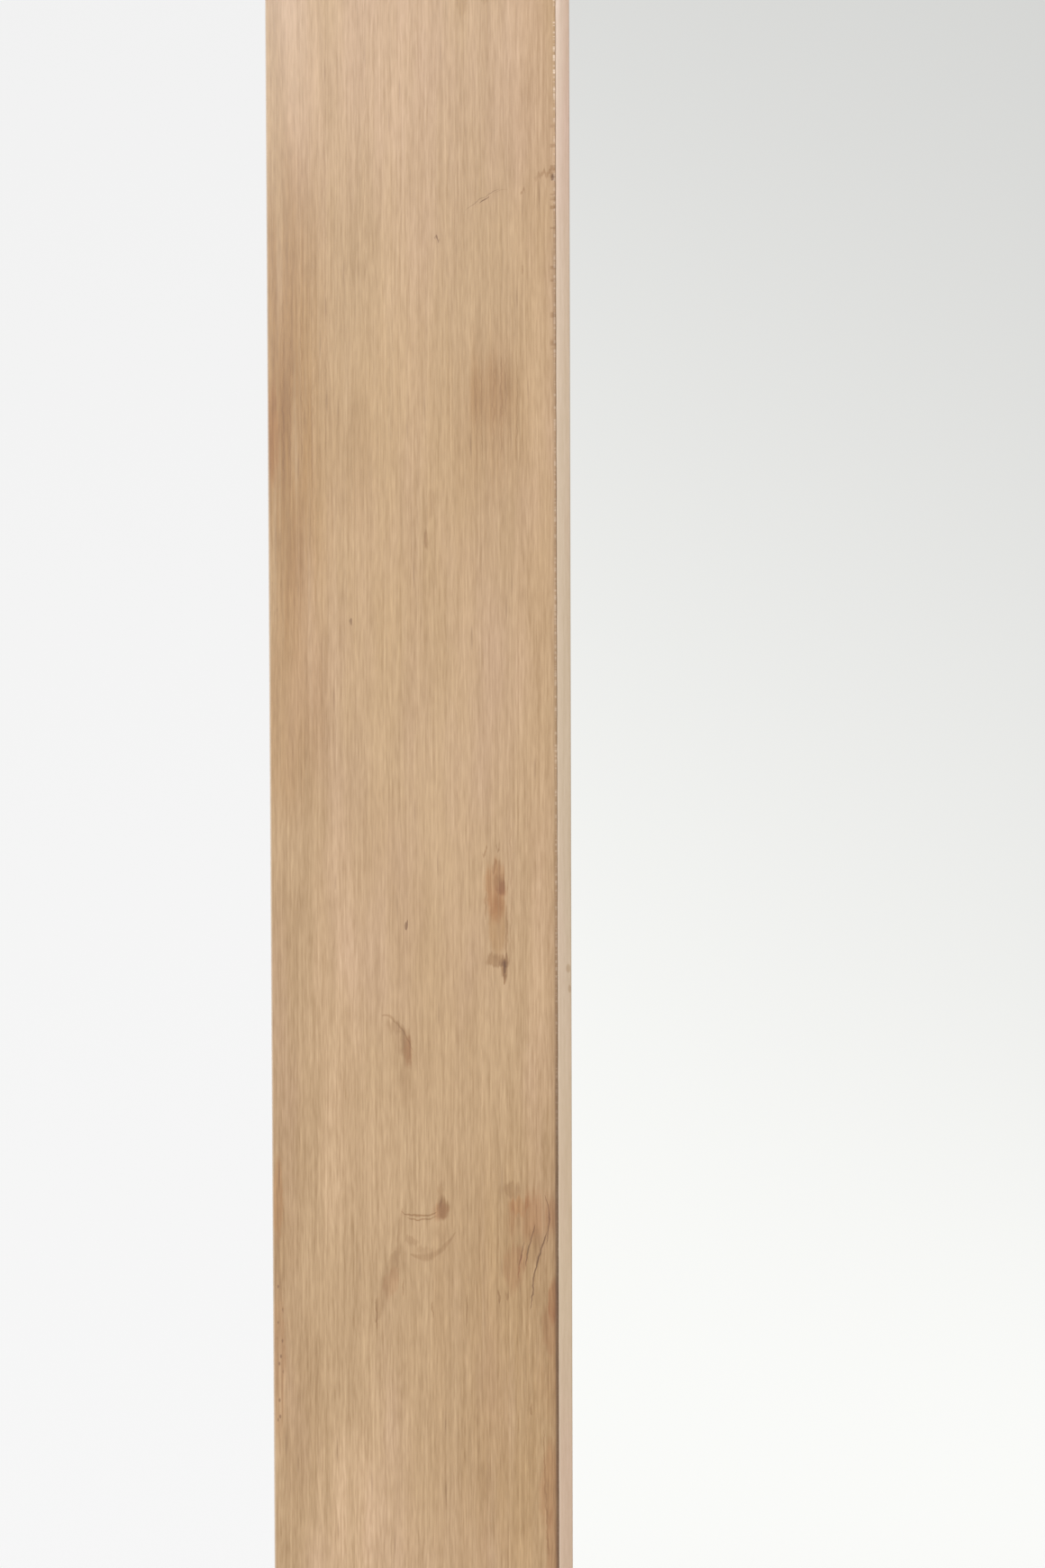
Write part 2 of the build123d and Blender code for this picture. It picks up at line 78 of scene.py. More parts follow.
class Tree:
    """Short forms for building the nodes of a material or a world."""

    def __init__(self, owner):
        owner.use_nodes = True
        self.owner = owner
        self.nodes = owner.node_tree.nodes
        self.links = owner.node_tree.links
        self.shader = self.nodes.get("Principled BSDF")

    def feed(self, socket, value):
        """Links a socket, or sets it to a plain number, colour or vector."""
        if isinstance(value, bpy.types.NodeSocket):
            self.links.new(value, socket)
        else:
            socket.default_value = value

    def math(self, kind, a, b=0.0, c=0.0):
        node = self.nodes.new("ShaderNodeMath")
        node.operation = kind
        for socket, value in zip(node.inputs, (a, b, c)):
            self.feed(socket, value)
        return node.outputs[0]

    def product(self, first, *others):
        """Multiplies two or more values."""
        for value in others:
            first = self.math("MULTIPLY", first, value)
        return first

    def window(self, value, rise, fall):
        """1 between two soft edges, each given as (start, end), and 0 outside."""
        return self.product(self.ramp(value, *rise), self.ramp(value, *fall, 1.0, 0.0))

    def vector(self, kind, a, b=(0, 0, 0)):
        node = self.nodes.new("ShaderNodeVectorMath")
        node.operation = kind
        self.feed(node.inputs[0], a)
        if kind == "SCALE":
            self.feed(node.inputs["Scale"], b)
        else:
            self.feed(node.inputs[1], b)
        return node.outputs["Value"] if kind in ("LENGTH", "DOT_PRODUCT") else node.outputs[0]

    def split(self, vector):
        node = self.nodes.new("ShaderNodeSeparateXYZ")
        self.links.new(vector, node.inputs[0])
        return node.outputs[0], node.outputs[1], node.outputs[2]

    def join(self, x, y, z):
        node = self.nodes.new("ShaderNodeCombineXYZ")
        for socket, value in zip(node.inputs, (x, y, z)):
            self.feed(socket, value)
        return node.outputs[0]

    def ramp(self, value, low, high, start=0.0, end=1.0, smooth=True):
        """Maps low..high to start..end, clamped."""
        node = self.nodes.new("ShaderNodeMapRange")
        node.interpolation_type = "SMOOTHSTEP" if smooth else "LINEAR"
        for socket, number in zip(node.inputs, (value, low, high, start, end)):
            self.feed(socket, number)
        return node.outputs[0]

    def noise(self, vector, detail=2.0, roughness=0.5):
        """Signed noise, mostly between -1 and 1."""
        node = self.nodes.new("ShaderNodeTexNoise")
        self.links.new(vector, node.inputs["Vector"])
        node.inputs["Scale"].default_value = 1.0
        node.inputs["Detail"].default_value = detail
        node.inputs["Roughness"].default_value = roughness
        return self.math("MULTIPLY_ADD", node.outputs["Fac"], 2.0, -1.0)

    def mix(self, factor, a, b, kind="MIX"):
        node = self.nodes.new("ShaderNodeMix")
        node.data_type = "RGBA"
        node.blend_type = kind
        self.feed(node.inputs["Factor"], factor)
        colours = [s for s in node.inputs if s.type == "RGBA"]
        self.feed(colours[0], a if not isinstance(a, tuple) else (*a, 1))
        self.feed(colours[1], b if not isinstance(b, tuple) else (*b, 1))
        return [s for s in node.outputs if s.type == "RGBA"][0]

    def bump(self, height, distance, strength):
        node = self.nodes.new("ShaderNodeBump")
        node.inputs["Strength"].default_value = strength
        node.inputs["Distance"].default_value = distance
        self.links.new(height, node.inputs["Height"])
        self.links.new(node.outputs[0], self.shader.inputs["Normal"])

    def object_mm(self):
        """Object coordinates in millimetres."""
        coords = self.nodes.new("ShaderNodeTexCoord").outputs["Object"]
        return self.vector("SCALE", coords, 1 / MM)

    def cells(self, vector):
        """Voronoi node with a unit cell size."""
        node = self.nodes.new("ShaderNodeTexVoronoi")
        node.inputs["Scale"].default_value = 1.0
        self.links.new(vector, node.inputs["Vector"])
        return node

    def settings(self, **values):
        for name, value in values.items():
            self.shader.inputs[name.replace("_", " ")].default_value = value


def board_coordinates(tree, along, across, start, turned):
    """Across, depth and along of a board in mm, counted from its outer edge.

    along and across are axis letters, start is where across is 0 in mm, and
    turned counts across the other way."""
    axes = dict(zip("XYZ", tree.split(tree.object_mm())))
    third = next(letter for letter in "XYZ" if letter not in (along, across))
    sign = -1.0 if turned else 1.0
    across_mm = tree.math("MULTIPLY_ADD", axes[across], sign, -sign * start)
    return across_mm, axes[third], axes[along]


def blob(tree, across, along, centre, size, tilt=0.0, inner=0.5):
    """Soft ellipse: 1 in the middle, 0 at its edge."""
    offset = tree.vector("SUBTRACT", tree.join(across, along, 0.0), (*centre, 0.0))
    turn = tree.nodes.new("ShaderNodeVectorRotate")
    turn.rotation_type = "Z_AXIS"
    turn.inputs["Angle"].default_value = radians(-tilt)
    tree.links.new(offset, turn.inputs["Vector"])
    scaled = tree.vector("MULTIPLY", turn.outputs[0], (1 / size[0], 1 / size[1], 0.0))
    return tree.ramp(tree.vector("LENGTH", scaled), inner, 1.0, 1.0, 0.0)


def stroke(tree, main, cross, ends, path, width):
    """Soft line along main from ends[0] to ends[1].

    path gives cross at the start, the middle and the end, and width is the
    line's half width in the middle. It thins out to nothing at both ends."""
    first, middle, last = path
    t = tree.ramp(main, ends[0], ends[1], 0.0, 1.0, smooth=False)
    square = 2 * first + 2 * last - 4 * middle
    slope = last - first - square
    centre = tree.math("MULTIPLY_ADD", tree.math("MULTIPLY_ADD", t, square, slope), t, first)
    distance = tree.math("ABSOLUTE", tree.math("SUBTRACT", cross, centre))
    bell = tree.math("MULTIPLY", tree.math("SUBTRACT", 1.0, t), t)
    room = tree.math("MULTIPLY_ADD", tree.math("SQRT", bell), 2 * width, 0.0001)
    share = tree.math("DIVIDE", distance, room)
    return tree.ramp(share, 0.2, 1.0, 1.0, 0.0)


# ---- wood ----

WOOD_GOLD = (0.409, 0.261, 0.132)
WOOD_PINK = (0.429, 0.273, 0.156)
SLIP_GOLD = (0.446, 0.338, 0.230)
SLIP_PINK = (0.450, 0.322, 0.232)

# streak fields: name, mm across, mm along, detail
GRAIN = [
    ("zone", 15.0, 110.0, 1.0), ("hue", 8.0, 45.0, 2.0), ("band", 3.0, 45.0, 2.0),
    ("line", 0.55, 30.0, 2.0), ("streak", 0.32, 11.0, 2.0), ("fleck", 0.28, 3.0, 1.0),
    ("figure", 2.4, 380.0, 3.0),
]
# how strongly each field shades the wood
SHADING = [("zone", 0.125), ("band", 0.07), ("line", 0.07), ("streak", 0.23), ("fleck", 0.19)]
# how strongly red, green and blue follow the shade
SHADE_RGB = (1.0, 1.22, 1.65)
# slow sideways wander of the grain: mm across and along, and how far in mm
WANDER_SIZE = (22, 180)
WANDER = 0.6
# cells that hold a pore: mm across and along
PORE_CELL = (0.9, 13.0)


def grain(tree, across, depth, along, seed):
    """The streak fields of straight-grained wood, as signed values."""
    wide, long = WANDER_SIZE
    wander = tree.noise(tree.join(
        tree.math("MULTIPLY", across, 1 / wide), tree.math("MULTIPLY", depth, 1 / wide),
        tree.math("MULTIPLY_ADD", along, 1 / long, seed)), detail=1.0)
    across = tree.math("MULTIPLY_ADD", wander, WANDER, across)
    found = {}
    for number, (name, wide, long, detail) in enumerate(GRAIN):
        spot = tree.join(
            tree.math("MULTIPLY_ADD", across, 1 / wide, 7.3 * number + seed),
            tree.math("MULTIPLY", depth, 1 / wide),
            tree.math("MULTIPLY_ADD", along, 1 / long, 3.1 * number - seed),
        )
        found[name] = tree.noise(spot, detail=detail)
    return found


def wood_colour(tree, fields, gold, pink, depth_of_grain=1.0, figure=0.0, contrast=1.0):
    """Colour of the board from its streak fields; darker streaks are browner.

    figure is the strength of the broad figure, and contrast scales the whole
    pattern and may vary over the board."""
    blush = tree.ramp(fields["hue"], -0.2, 0.5)
    colour = tree.mix(blush, gold, pink)
    shade = tree.math("MULTIPLY", fields["figure"], figure)
    for name, amount in SHADING:
        shade = tree.math("MULTIPLY_ADD", fields[name], amount * depth_of_grain, shade)
    shade = tree.math("MULTIPLY", shade, contrast)
    parts = [tree.math("MULTIPLY_ADD", shade, weight, 1.0) for weight in SHADE_RGB]
    return tree.vector("MULTIPLY", colour, tree.join(*parts))


def pores(tree, across, depth, along, seed):
    """Sparse short dark dashes along the grain."""
    wide, long = PORE_CELL
    cells = tree.cells(tree.join(
        tree.math("MULTIPLY_ADD", across, 1 / wide, seed), tree.math("MULTIPLY", depth, 1 / wide),
        tree.math("MULTIPLY", along, 1 / long)))
    chosen = tree.ramp(tree.split(cells.outputs["Color"])[0], 0.80, 0.86)
    near = tree.ramp(cells.outputs["Distance"], 0.05, 0.22, 1.0, 0.0)
    return tree.math("MULTIPLY", chosen, near)


def finish_wood(tree, colour, fields, rough=0.42):
    """Satin lacquer over the colour."""
    tree.links.new(colour, tree.shader.inputs["Base Color"])
    roughness = tree.math("MULTIPLY_ADD", fields["streak"], 0.05, rough)
    roughness = tree.math("MULTIPLY_ADD", fields["zone"], 0.03, roughness)
    tree.links.new(roughness, tree.shader.inputs["Roughness"])
    tree.settings(IOR=1.5, Coat_Weight=0.50, Coat_Roughness=0.18, Coat_IOR=1.45)
    height = tree.math("MULTIPLY", fields["line"], 0.5)
    height = tree.math("MULTIPLY_ADD", fields["streak"], 0.6, height)
    tree.bump(height, 0.03 * MM, 0.6)


def darken(tree, colour, mask, strength, tint):
    """Stains a colour by a tint where the mask is on."""
    return tree.mix(tree.math("MULTIPLY", mask, strength), colour, tint, "MULTIPLY")


# tints that the marks multiply the wood by
BROWN = (0.62, 0.50, 0.34)
RED_BROWN = (0.78, 0.56, 0.39)
ORANGE = (0.92, 0.71, 0.49)
DARK = (0.42, 0.32, 0.24)
TAN = (0.82, 0.765, 0.665)
GOLDEN = (0.83, 0.735, 0.58)
AMBER = (0.86, 0.70, 0.53)
PALE = (1.15, 1.17, 1.26)
YELLOW = (1.02, 1.0, 0.90)

# half width in mm above which a spot is a soft streaky patch
BROAD = 2.2
# Natural marks on the left stile, in mm: across from the outer edge and
# height above the floor.
# (centre, half sizes, tilt in degrees, strength, tint)
STILE_SPOTS = [
    # long orange fleck with a dark blob, two short streaks and a brown foot
    ((35.3, 1333.6), (2.0, 5.8), 0, 0.95, AMBER),
    ((35.3, 1331.0), (1.9, 3.6), 0, 0.45, AMBER),
    ((35.7, 1327.6), (1.8, 6.4), 0, 0.95, GOLDEN),
    ((36.0, 1334.2), (1.25, 2.1), 12, 0.58, BROWN),
    ((36.3, 1333.6), (0.9, 1.6), 12, 0.55, RED_BROWN),
    ((35.1, 1337.1), (0.40, 1.4), 0, 0.60, BROWN),
    ((35.8, 1336.9), (0.32, 1.3), 0, 0.38, BROWN),
    ((33.7, 1339.2), (0.42, 0.50), 0, 0.70, BROWN),
    ((35.6, 1339.8), (0.28, 0.45), 0, 0.45, BROWN),
    ((35.5, 1322.2), (2.1, 1.4), 6, 0.72, BROWN),
    ((36.5, 1321.9), (1.0, 1.1), 0, 0.55, BROWN),
    ((36.65, 1321.0), (0.55, 1.7), -2, 0.80, BROWN),
    # small dark dots
    ((21.4, 1327.9), (0.42, 0.75), 0, 0.90, DARK),
    ((12.8, 1375.6), (0.24, 0.7), 0, 0.75, DARK),
    ((26.5, 1435.2), (0.36, 0.42), 0, 0.85, DARK),
    ((39.9, 1430.4), (0.32, 0.9), 0, 0.50, BROWN),
    ((39.9, 1442.1), (0.34, 0.34), 0, 0.55, BROWN),
    ((24.6, 1388.4), (0.55, 2.1), -6, 0.62, BROWN),
    ((25.3, 1393.5), (0.9, 3.5), -10, 0.25, BROWN),
    # curved smear: its filled part and the faint tail under it
    ((21.35, 1308.6), (1.15, 3.8), 3, 0.72, BROWN),
    ((21.6, 1308.2), (0.85, 3.0), 2, 0.50, RED_BROWN),
    ((19.7, 1311.7), (2.1, 1.2), -32, 0.36, BROWN),
    ((20.4, 1309.6), (1.4, 2.6), -15, 0.24, BROWN),
    ((21.0, 1303.0), (1.1, 4.8), 0, 0.32, BROWN),
    # figure mark: dark triangle, its point, and the soft fill of the band
    ((27.0, 1283.0), (1.05, 2.4), 0, 0.82, BROWN),
    ((26.5, 1282.7), (1.5, 1.9), 0, 0.55, RED_BROWN),
    ((26.6, 1285.6), (0.60, 2.6), 0, 0.52, BROWN),
    ((19.7, 1274.8), (1.3, 4.0), -8, 0.22, BROWN),
    ((18.8, 1271.4), (1.5, 3.2), -14, 0.34, RED_BROWN),
    ((21.9, 1277.7), (1.5, 0.75), -8, 0.34, BROWN),
    ((24.2, 1276.4), (2.0, 0.95), 4, 0.30, BROWN),
    ((26.9, 1279.0), (1.1, 2.2), 0, 0.22, BROWN),
    # knot by the inner edge
    ((41.0, 1281.6), (5.2, 5.6), 0, 0.55, RED_BROWN),
    ((44.3, 1282.0), (1.6, 3.2), 0, 0.28, RED_BROWN),
    ((38.9, 1283.4), (2.1, 1.8), 20, 0.55, ORANGE),
    ((37.6, 1285.9), (1.9, 1.6), -10, 0.50, BROWN),
    ((38.0, 1273.6), (2.0, 4.8), 0, 0.42, RED_BROWN),
    ((41.6, 1277.0), (1.8, 3.8), 0, 0.36, BROWN),
    ((39.4, 1275.6), (0.9, 2.6), 8, 0.50, RED_BROWN),
    ((35.6, 1269.0), (0.24, 1.2), 0, 0.75, BROWN),
    ((36.9, 1269.2), (0.24, 0.9), 0, 0.50, BROWN),
    # reddish heartwood along the inner edge below the knot
    ((44.3, 1268.4), (1.05, 4.4), -3, 0.80, RED_BROWN),
    ((43.8, 1264.0), (1.7, 5.2), 0, 0.45, RED_BROWN),
    ((43.2, 1256.5), (2.6, 9.0), 0, 0.42, ORANGE),
    ((40.7, 1251.4), (0.28, 1.2), 0, 0.60, BROWN),
    ((43.6, 1239.0), (1.9, 9.0), -3, 0.50, RED_BROWN),
    ((44.2, 1228.0), (1.6, 9.0), 0, 0.45, RED_BROWN),
    # reddish heartwood along the outer edge
    ((0.7, 1405.0), (1.5, 10.0), 0, 0.58, ORANGE),
    ((0.9, 1284.0), (1.0, 8.0), 0, 0.55, ORANGE),
    ((0.8, 1264.0), (1.3, 18.0), 0, 0.40, BROWN),
    ((0.9, 1258.0), (1.3, 15.0), 0, 0.34, ORANGE),
    # broad patches of tone, set so that the face's colour follows the photograph
    ((0.5, 1420.0), (7.0, 44.0), 0, 0.55, TAN),
    ((2.0, 1424.0), (10.0, 38.0), 0, 0.88, GOLDEN),
    ((2.0, 1394.0), (9.0, 30.0), 0, 0.95, GOLDEN),
    ((3.5, 1362.0), (8.5, 24.0), 0, 0.70, GOLDEN),
    ((1.0, 1300.0), (6.0, 40.0), 0, 0.50, TAN),
    ((4.5, 1250.0), (5.5, 26.0), 0, 0.55, TAN),
    ((34.8, 1411.0), (5.4, 7.8), 0, 0.72, GOLDEN),
    ((35.0, 1408.5), (8.6, 18.0), 0, 0.52, GOLDEN),
    ((38.0, 1440.0), (9.0, 30.0), 0, 0.16, TAN),
    ((30.6, 1472.0), (1.2, 3.6), 0, 0.80, TAN),
    ((33.8, 1472.5), (0.8, 2.0), 20, 0.65, TAN),
    ((42.0, 1385.0), (6.0, 30.0), 0, 0.18, TAN),
    ((24.5, 1314.0), (9.0, 25.0), 0, 0.32, TAN),
    ((34.0, 1248.0), (17.0, 68.0), 0, 0.54, TAN),
    ((33.5, 1240.0), (1.6, 4.0), 0, 0.50, TAN),
    ((14.0, 1464.0), (14.0, 26.0), 0, 0.42, PALE),
    ((10.5, 1331.0), (6.5, 20.0), 0, 0.80, PALE),
    ((10.0, 1291.0), (5.0, 16.0), 0, 0.75, PALE),
    ((12.5, 1236.0), (6.0, 20.0), 0, 0.95, PALE),
    ((22.0, 1392.0), (7.0, 30.0), 0, 0.12, PALE),
    ((38.0, 1470.0), (10.0, 15.0), 0, 0.28, PALE),
    ((16.5, 1290.0), (6.0, 18.0), 0, 0.34, PALE),
    ((19.0, 1245.0), (6.0, 26.0), 0, 0.26, PALE),
    ((1.2, 1465.0), (4.2, 20.0), 0, 0.46, TAN),
    ((2.2, 1386.0), (4.5, 15.0), 0, 0.40, TAN),
    ((2.0, 1328.0), (4.5, 15.0), 0, 0.42, TAN),
    ((2.0, 1277.0), (3.8, 10.0), 0, 0.60, TAN),
    ((12.5, 1401.0), (7.0, 17.0), 0, 0.52, TAN),
    ((17.0, 1343.0), (4.5, 13.0), 0, 0.30, TAN),
    ((21.5, 1330.0), (5.0, 14.0), 0, 0.28, TAN),
    ((27.0, 1278.0), (4.5, 23.0), 0, 0.32, TAN),
    ((31.5, 1398.0), (5.0, 27.0), 0, 0.26, TAN),
    ((31.5, 1322.0), (4.5, 26.0), 0, 0.24, TAN),
    ((22.5, 1440.0), (6.5, 62.0), 0, 0.50, PALE),
    ((41.8, 1372.0), (4.5, 120.0), 0, 0.48, PALE),
    ((41.8, 1320.0), (4.2, 28.0), 0, 0.40, PALE),
    ((10.5, 1313.0), (6.5, 19.0), 0, 0.80, PALE),
    ((12.5, 1234.0), (5.0, 16.0), 0, 0.42, PALE),
    ((25.0, 1226.0), (26.0, 15.0), 0, 0.40, PALE),
    ((3.0, 1410.0), (7.0, 30.0), 0, 0.80, YELLOW),
    ((38.0, 1257.0), (11.0, 52.0), 0, 0.60, YELLOW),
    ((4.0, 1386.0), (8.0, 24.0), 0, 0.55, YELLOW),
    ((18.0, 1396.0), (22.0, 48.0), 0, 0.42, YELLOW),
    ((3.6, 1388.0), (5.0, 15.0), 0, 0.30, TAN),
    # end of the hairline arc at the joint
    ((43.6, 1445.0), (1.6, 0.55), 0, 0.55, BROWN),
    ((44.6, 1444.4), (0.42, 0.55), 0, 0.85, DARK),
    ((42.2, 1444.6), (0.45, 0.75), -30, 0.35, BROWN),
]

# (runs along the grain?, ends, path, half width, strength, tint)
STILE_LINES = [
    # edges of the fleck, and the wedge under it
    (True, (1333.0, 1328.6), (33.75, 33.7, 33.7), 0.13, 0.60, BROWN),
    (True, (1331.0, 1322.0), (36.9, 37.1, 36.9), 0.28, 0.45, BROWN),
    (True, (1323.5, 1320.2), (37.0, 36.8, 36.7), 0.42, 0.80, BROWN),
    (True, (1322.6, 1318.4), (36.7, 36.65, 36.6), 0.36, 0.95, BROWN),
    (True, (1340.9, 1339.2), (36.0, 35.9, 35.6), 0.14, 0.50, BROWN),
    # curved smear
    (False, (17.4, 22.3), (1313.7, 1312.4, 1308.0), 0.45, 0.52, BROWN),
    # hairline arc
    (False, (31.0, 36.4), (1439.4, 1441.3, 1442.7), 0.10, 0.55, DARK),
    (False, (33.2, 34.7), (1440.5, 1441.1, 1441.5), 0.17, 0.95, DARK),
    (False, (35.6, 37.6), (1442.0, 1442.5, 1442.7), 0.08, 0.45, BROWN),
    # the figure mark's double line, its left curve and its lower band
    (False, (20.3, 26.0), (1282.6, 1281.9, 1282.5), 0.22, 0.85, BROWN),
    (False, (21.2, 25.9), (1281.7, 1281.35, 1281.9), 0.20, 0.80, BROWN),
    (True, (1283.2, 1273.5), (20.6, 19.9, 19.5), 0.55, 0.34, BROWN),
    (True, (1276.5, 1265.0), (19.3, 17.7, 16.2), 1.20, 0.34, BROWN),
    (False, (21.7, 28.9), (1275.9, 1275.7, 1279.3), 0.80, 0.46, BROWN),
    (True, (1269.6, 1263.8), (30.6, 30.6, 30.5), 0.12, 0.60, BROWN),
    (True, (1269.0, 1264.0), (16.3, 16.3, 16.4), 0.17, 0.70, BROWN),
    (True, (1268.4, 1265.6), (25.2, 25.2, 25.2), 0.14, 0.70, BROWN),
    (True, (1272.0, 1269.2), (20.7, 20.6, 20.5), 0.13, 0.60, BROWN),
    # cracks in the knot, and the pale lines beside the long one, which are painted highlights
    # along the cracks' edges
    (True, (1285.2, 1277.4), (42.9, 43.6, 43.1), 0.17, 0.75, DARK),
    (True, (1279.3, 1267.0), (43.3, 41.4, 40.7), 0.22, 0.95, DARK),
    (True, (1280.6, 1273.8), (41.4, 40.4, 39.9), 0.18, 0.78, DARK),
    (True, (1277.8, 1274.0), (39.6, 39.2, 38.8), 0.15, 0.70, DARK),
    (True, (1276.0, 1272.0), (39.2, 38.8, 38.65), 0.17, 0.80, RED_BROWN),
    (True, (1277.6, 1273.8), (39.9, 39.5, 39.2), 0.16, 0.90, PALE),
    (True, (1277.0, 1270.0), (41.9, 41.2, 40.9), 0.20, 0.70, PALE),
    (True, (1268.6, 1260.0), (40.45, 40.4, 40.4), 0.16, 0.90, PALE),
    # streaks in the golden patches
    (True, (1417.0, 1398.0), (32.6, 32.6, 32.6), 0.16, 0.30, BROWN),
    (True, (1414.0, 1400.0), (33.4, 33.4, 33.4), 0.14, 0.34, BROWN),
    (True, (1418.0, 1403.0), (35.3, 35.3, 35.2), 0.22, 0.36, BROWN),
    (True, (1417.0, 1401.0), (36.5, 36.5, 36.4), 0.26, 0.40, BROWN),
    (True, (1419.0, 1406.0), (37.2, 37.2, 37.2), 0.18, 0.34, BROWN),
    (True, (1416.0, 1402.0), (38.9, 38.9, 38.8), 0.16, 0.30, BROWN),
    (True, (1428.0, 1396.0), (2.4, 2.4, 2.5), 0.18, 0.32, BROWN),
    (True, (1420.0, 1392.0), (3.5, 3.5, 3.5), 0.15, 0.30, BROWN),
    (True, (1426.0, 1400.0), (5.3, 5.3, 5.3), 0.18, 0.30, BROWN),
    (True, (1416.0, 1386.0), (6.9, 6.9, 6.9), 0.15, 0.26, BROWN),
    # long darker streaks
    (True, (1460.0, 1400.0), (9.0, 9.1, 9.0), 0.22, 0.22, BROWN),
    (True, (1372.0, 1340.0), (29.4, 29.5, 29.4), 0.20, 0.22, BROWN),
    (True, (1345.0, 1318.0), (37.6, 37.8, 37.5), 0.20, 0.30, BROWN),
    (True, (1248.0, 1226.0), (42.6, 43.0, 43.5), 0.22, 0.50, BROWN),
    # long paler lines
    (True, (1478.0, 1405.0), (15.3, 15.4, 15.3), 0.14, 0.55, PALE),
    (True, (1440.0, 1370.0), (7.2, 7.3, 7.3), 0.16, 0.60, PALE),
    (True, (1420.0, 1380.0), (28.6, 28.6, 28.7), 0.14, 0.60, PALE),
    (True, (1330.0, 1290.0), (33.0, 33.1, 33.0), 0.16, 0.45, PALE),
]


def beads(tree, along, size, seed, low, high):
    """Small dots along a line, on where a fine noise is high."""
    spot = tree.join(0.0, seed, tree.math("MULTIPLY", along, 1 / size))
    return tree.ramp(tree.noise(spot, detail=2.0, roughness=0.7), low, high)


# Along the joint with the slip: mm across from the outer edge over which each
# part fades in, and mm above the floor over which it changes.
GLUE = (44.35, 44.80)
GLUE_TINT = (0.40, 0.34, 0.26)
HALO = (43.4, 44.7)
HALO_TINT = (0.80, 0.74, 0.66)
BROWN_BELOW = (1345.0, 1275.0)
GLUE_BELOW = (1455.0, 1425.0)
DOTS = (44.0, 44.35)
DOTS_BELOW = (1460.0, 1445.0)
DOTS_ABOVE = (1405.0, 1425.0)
DOT_SIZE = 1.6
# painted highlights: pale glints along the joint, strongest near the top
GLINTS = (44.55, 44.80)
GLINTS_STRONG = (1452.0, 1462.0)
GLINT_SIZE = 0.55
GLINT_COLOUR = (0.82, 0.68, 0.55)


def joint_line(tree, colour, across, along, seed):
    """Glue line beside the slip: brown low down, broken higher up by painted glints, pale
    highlights along the joint.
    """
    low = tree.ramp(along, *BROWN_BELOW)
    depth = tree.math("MULTIPLY_ADD", low, 0.62, 0.36)
    core = tree.product(tree.ramp(across, *GLUE), depth, tree.ramp(along, *GLUE_BELOW))
    colour = darken(tree, colour, core, 1.0, GLUE_TINT)
    halo = tree.product(tree.ramp(across, *HALO), low)
    colour = darken(tree, colour, halo, 1.0, HALO_TINT)
    dots = tree.product(
        beads(tree, along, DOT_SIZE, seed + 4, 0.15, 0.35), tree.ramp(along, *DOTS_BELOW),
        tree.ramp(along, *DOTS_ABOVE), tree.ramp(across, *DOTS))
    colour = darken(tree, colour, dots, 0.7, BROWN)
    # painted highlights: pale glints along the joint
    glints = tree.product(
        beads(tree, along, GLINT_SIZE, seed, -0.05, 0.25), tree.ramp(across, *GLINTS))
    strong = tree.ramp(along, *GLINTS_STRONG, 0.22, 0.75)
    amount = tree.math("MULTIPLY_ADD", low, -0.20, strong)
    return tree.mix(tree.product(glints, amount), colour, GLINT_COLOUR)


# pale arris colour: lacquer wear and a painted highlight
WORN_AND_HIGHLIGHT_COLOUR = (0.60, 0.52, 0.44)
TICK_CELL = (0.9, 1.7)           # mm across and along
TICK_STRIP = ((0.4, 0.8), (1.3, 1.9))   # mm from the outer edge: fades in, fades out
TICK_FADE = 4.0                  # mm over which the ticks fade at each end


def edge_wear_and_highlight(tree, colour, across, depth):
    """Pale colour along the front outer arris: lacquer wear, and a painted highlight where the
    arris catches light.
    """
    front = FRONT / MM
    arris_wear_and_highlight = tree.product(tree.ramp(across, 0.05, 0.38, 1.0, 0.0),
                        tree.ramp(depth, front + 0.35, front + 0.75, 1.0, 0.0))
    return tree.mix(tree.product(arris_wear_and_highlight, 0.55), colour, WORN_AND_HIGHLIGHT_COLOUR)


def edge_ticks(tree, colour, across, along, low, high):
    """Tiny dark ticks just inside the outer edge between two heights."""
    wide, long = TICK_CELL
    cells = tree.cells(tree.join(
        tree.math("MULTIPLY", across, 1 / wide), 0.0, tree.math("MULTIPLY", along, 1 / long)))
    tick = tree.ramp(cells.outputs["Distance"], 0.10, 0.26, 1.0, 0.0)
    strip = tree.window(across, *TICK_STRIP)
    span = tree.window(along, (low - TICK_FADE, low), (high, high + TICK_FADE))
    return darken(tree, colour, tree.product(tick, strip, span), 0.7, DARK)


# heights in mm between which the outer edge has ticks
TICKS = [(1250.0, 1271.0), (1380.0, 1382.0)]


def ripple(tree, value, size, shift, a, w):
    """A position in mm, moved by a fine noise so that marks get uneven edges."""
    spot = tree.join(tree.math("MULTIPLY", a, 1 / 1.6), tree.math("MULTIPLY", w, 1 / 1.6), shift)
    return tree.math("MULTIPLY_ADD", tree.noise(spot), size, value)


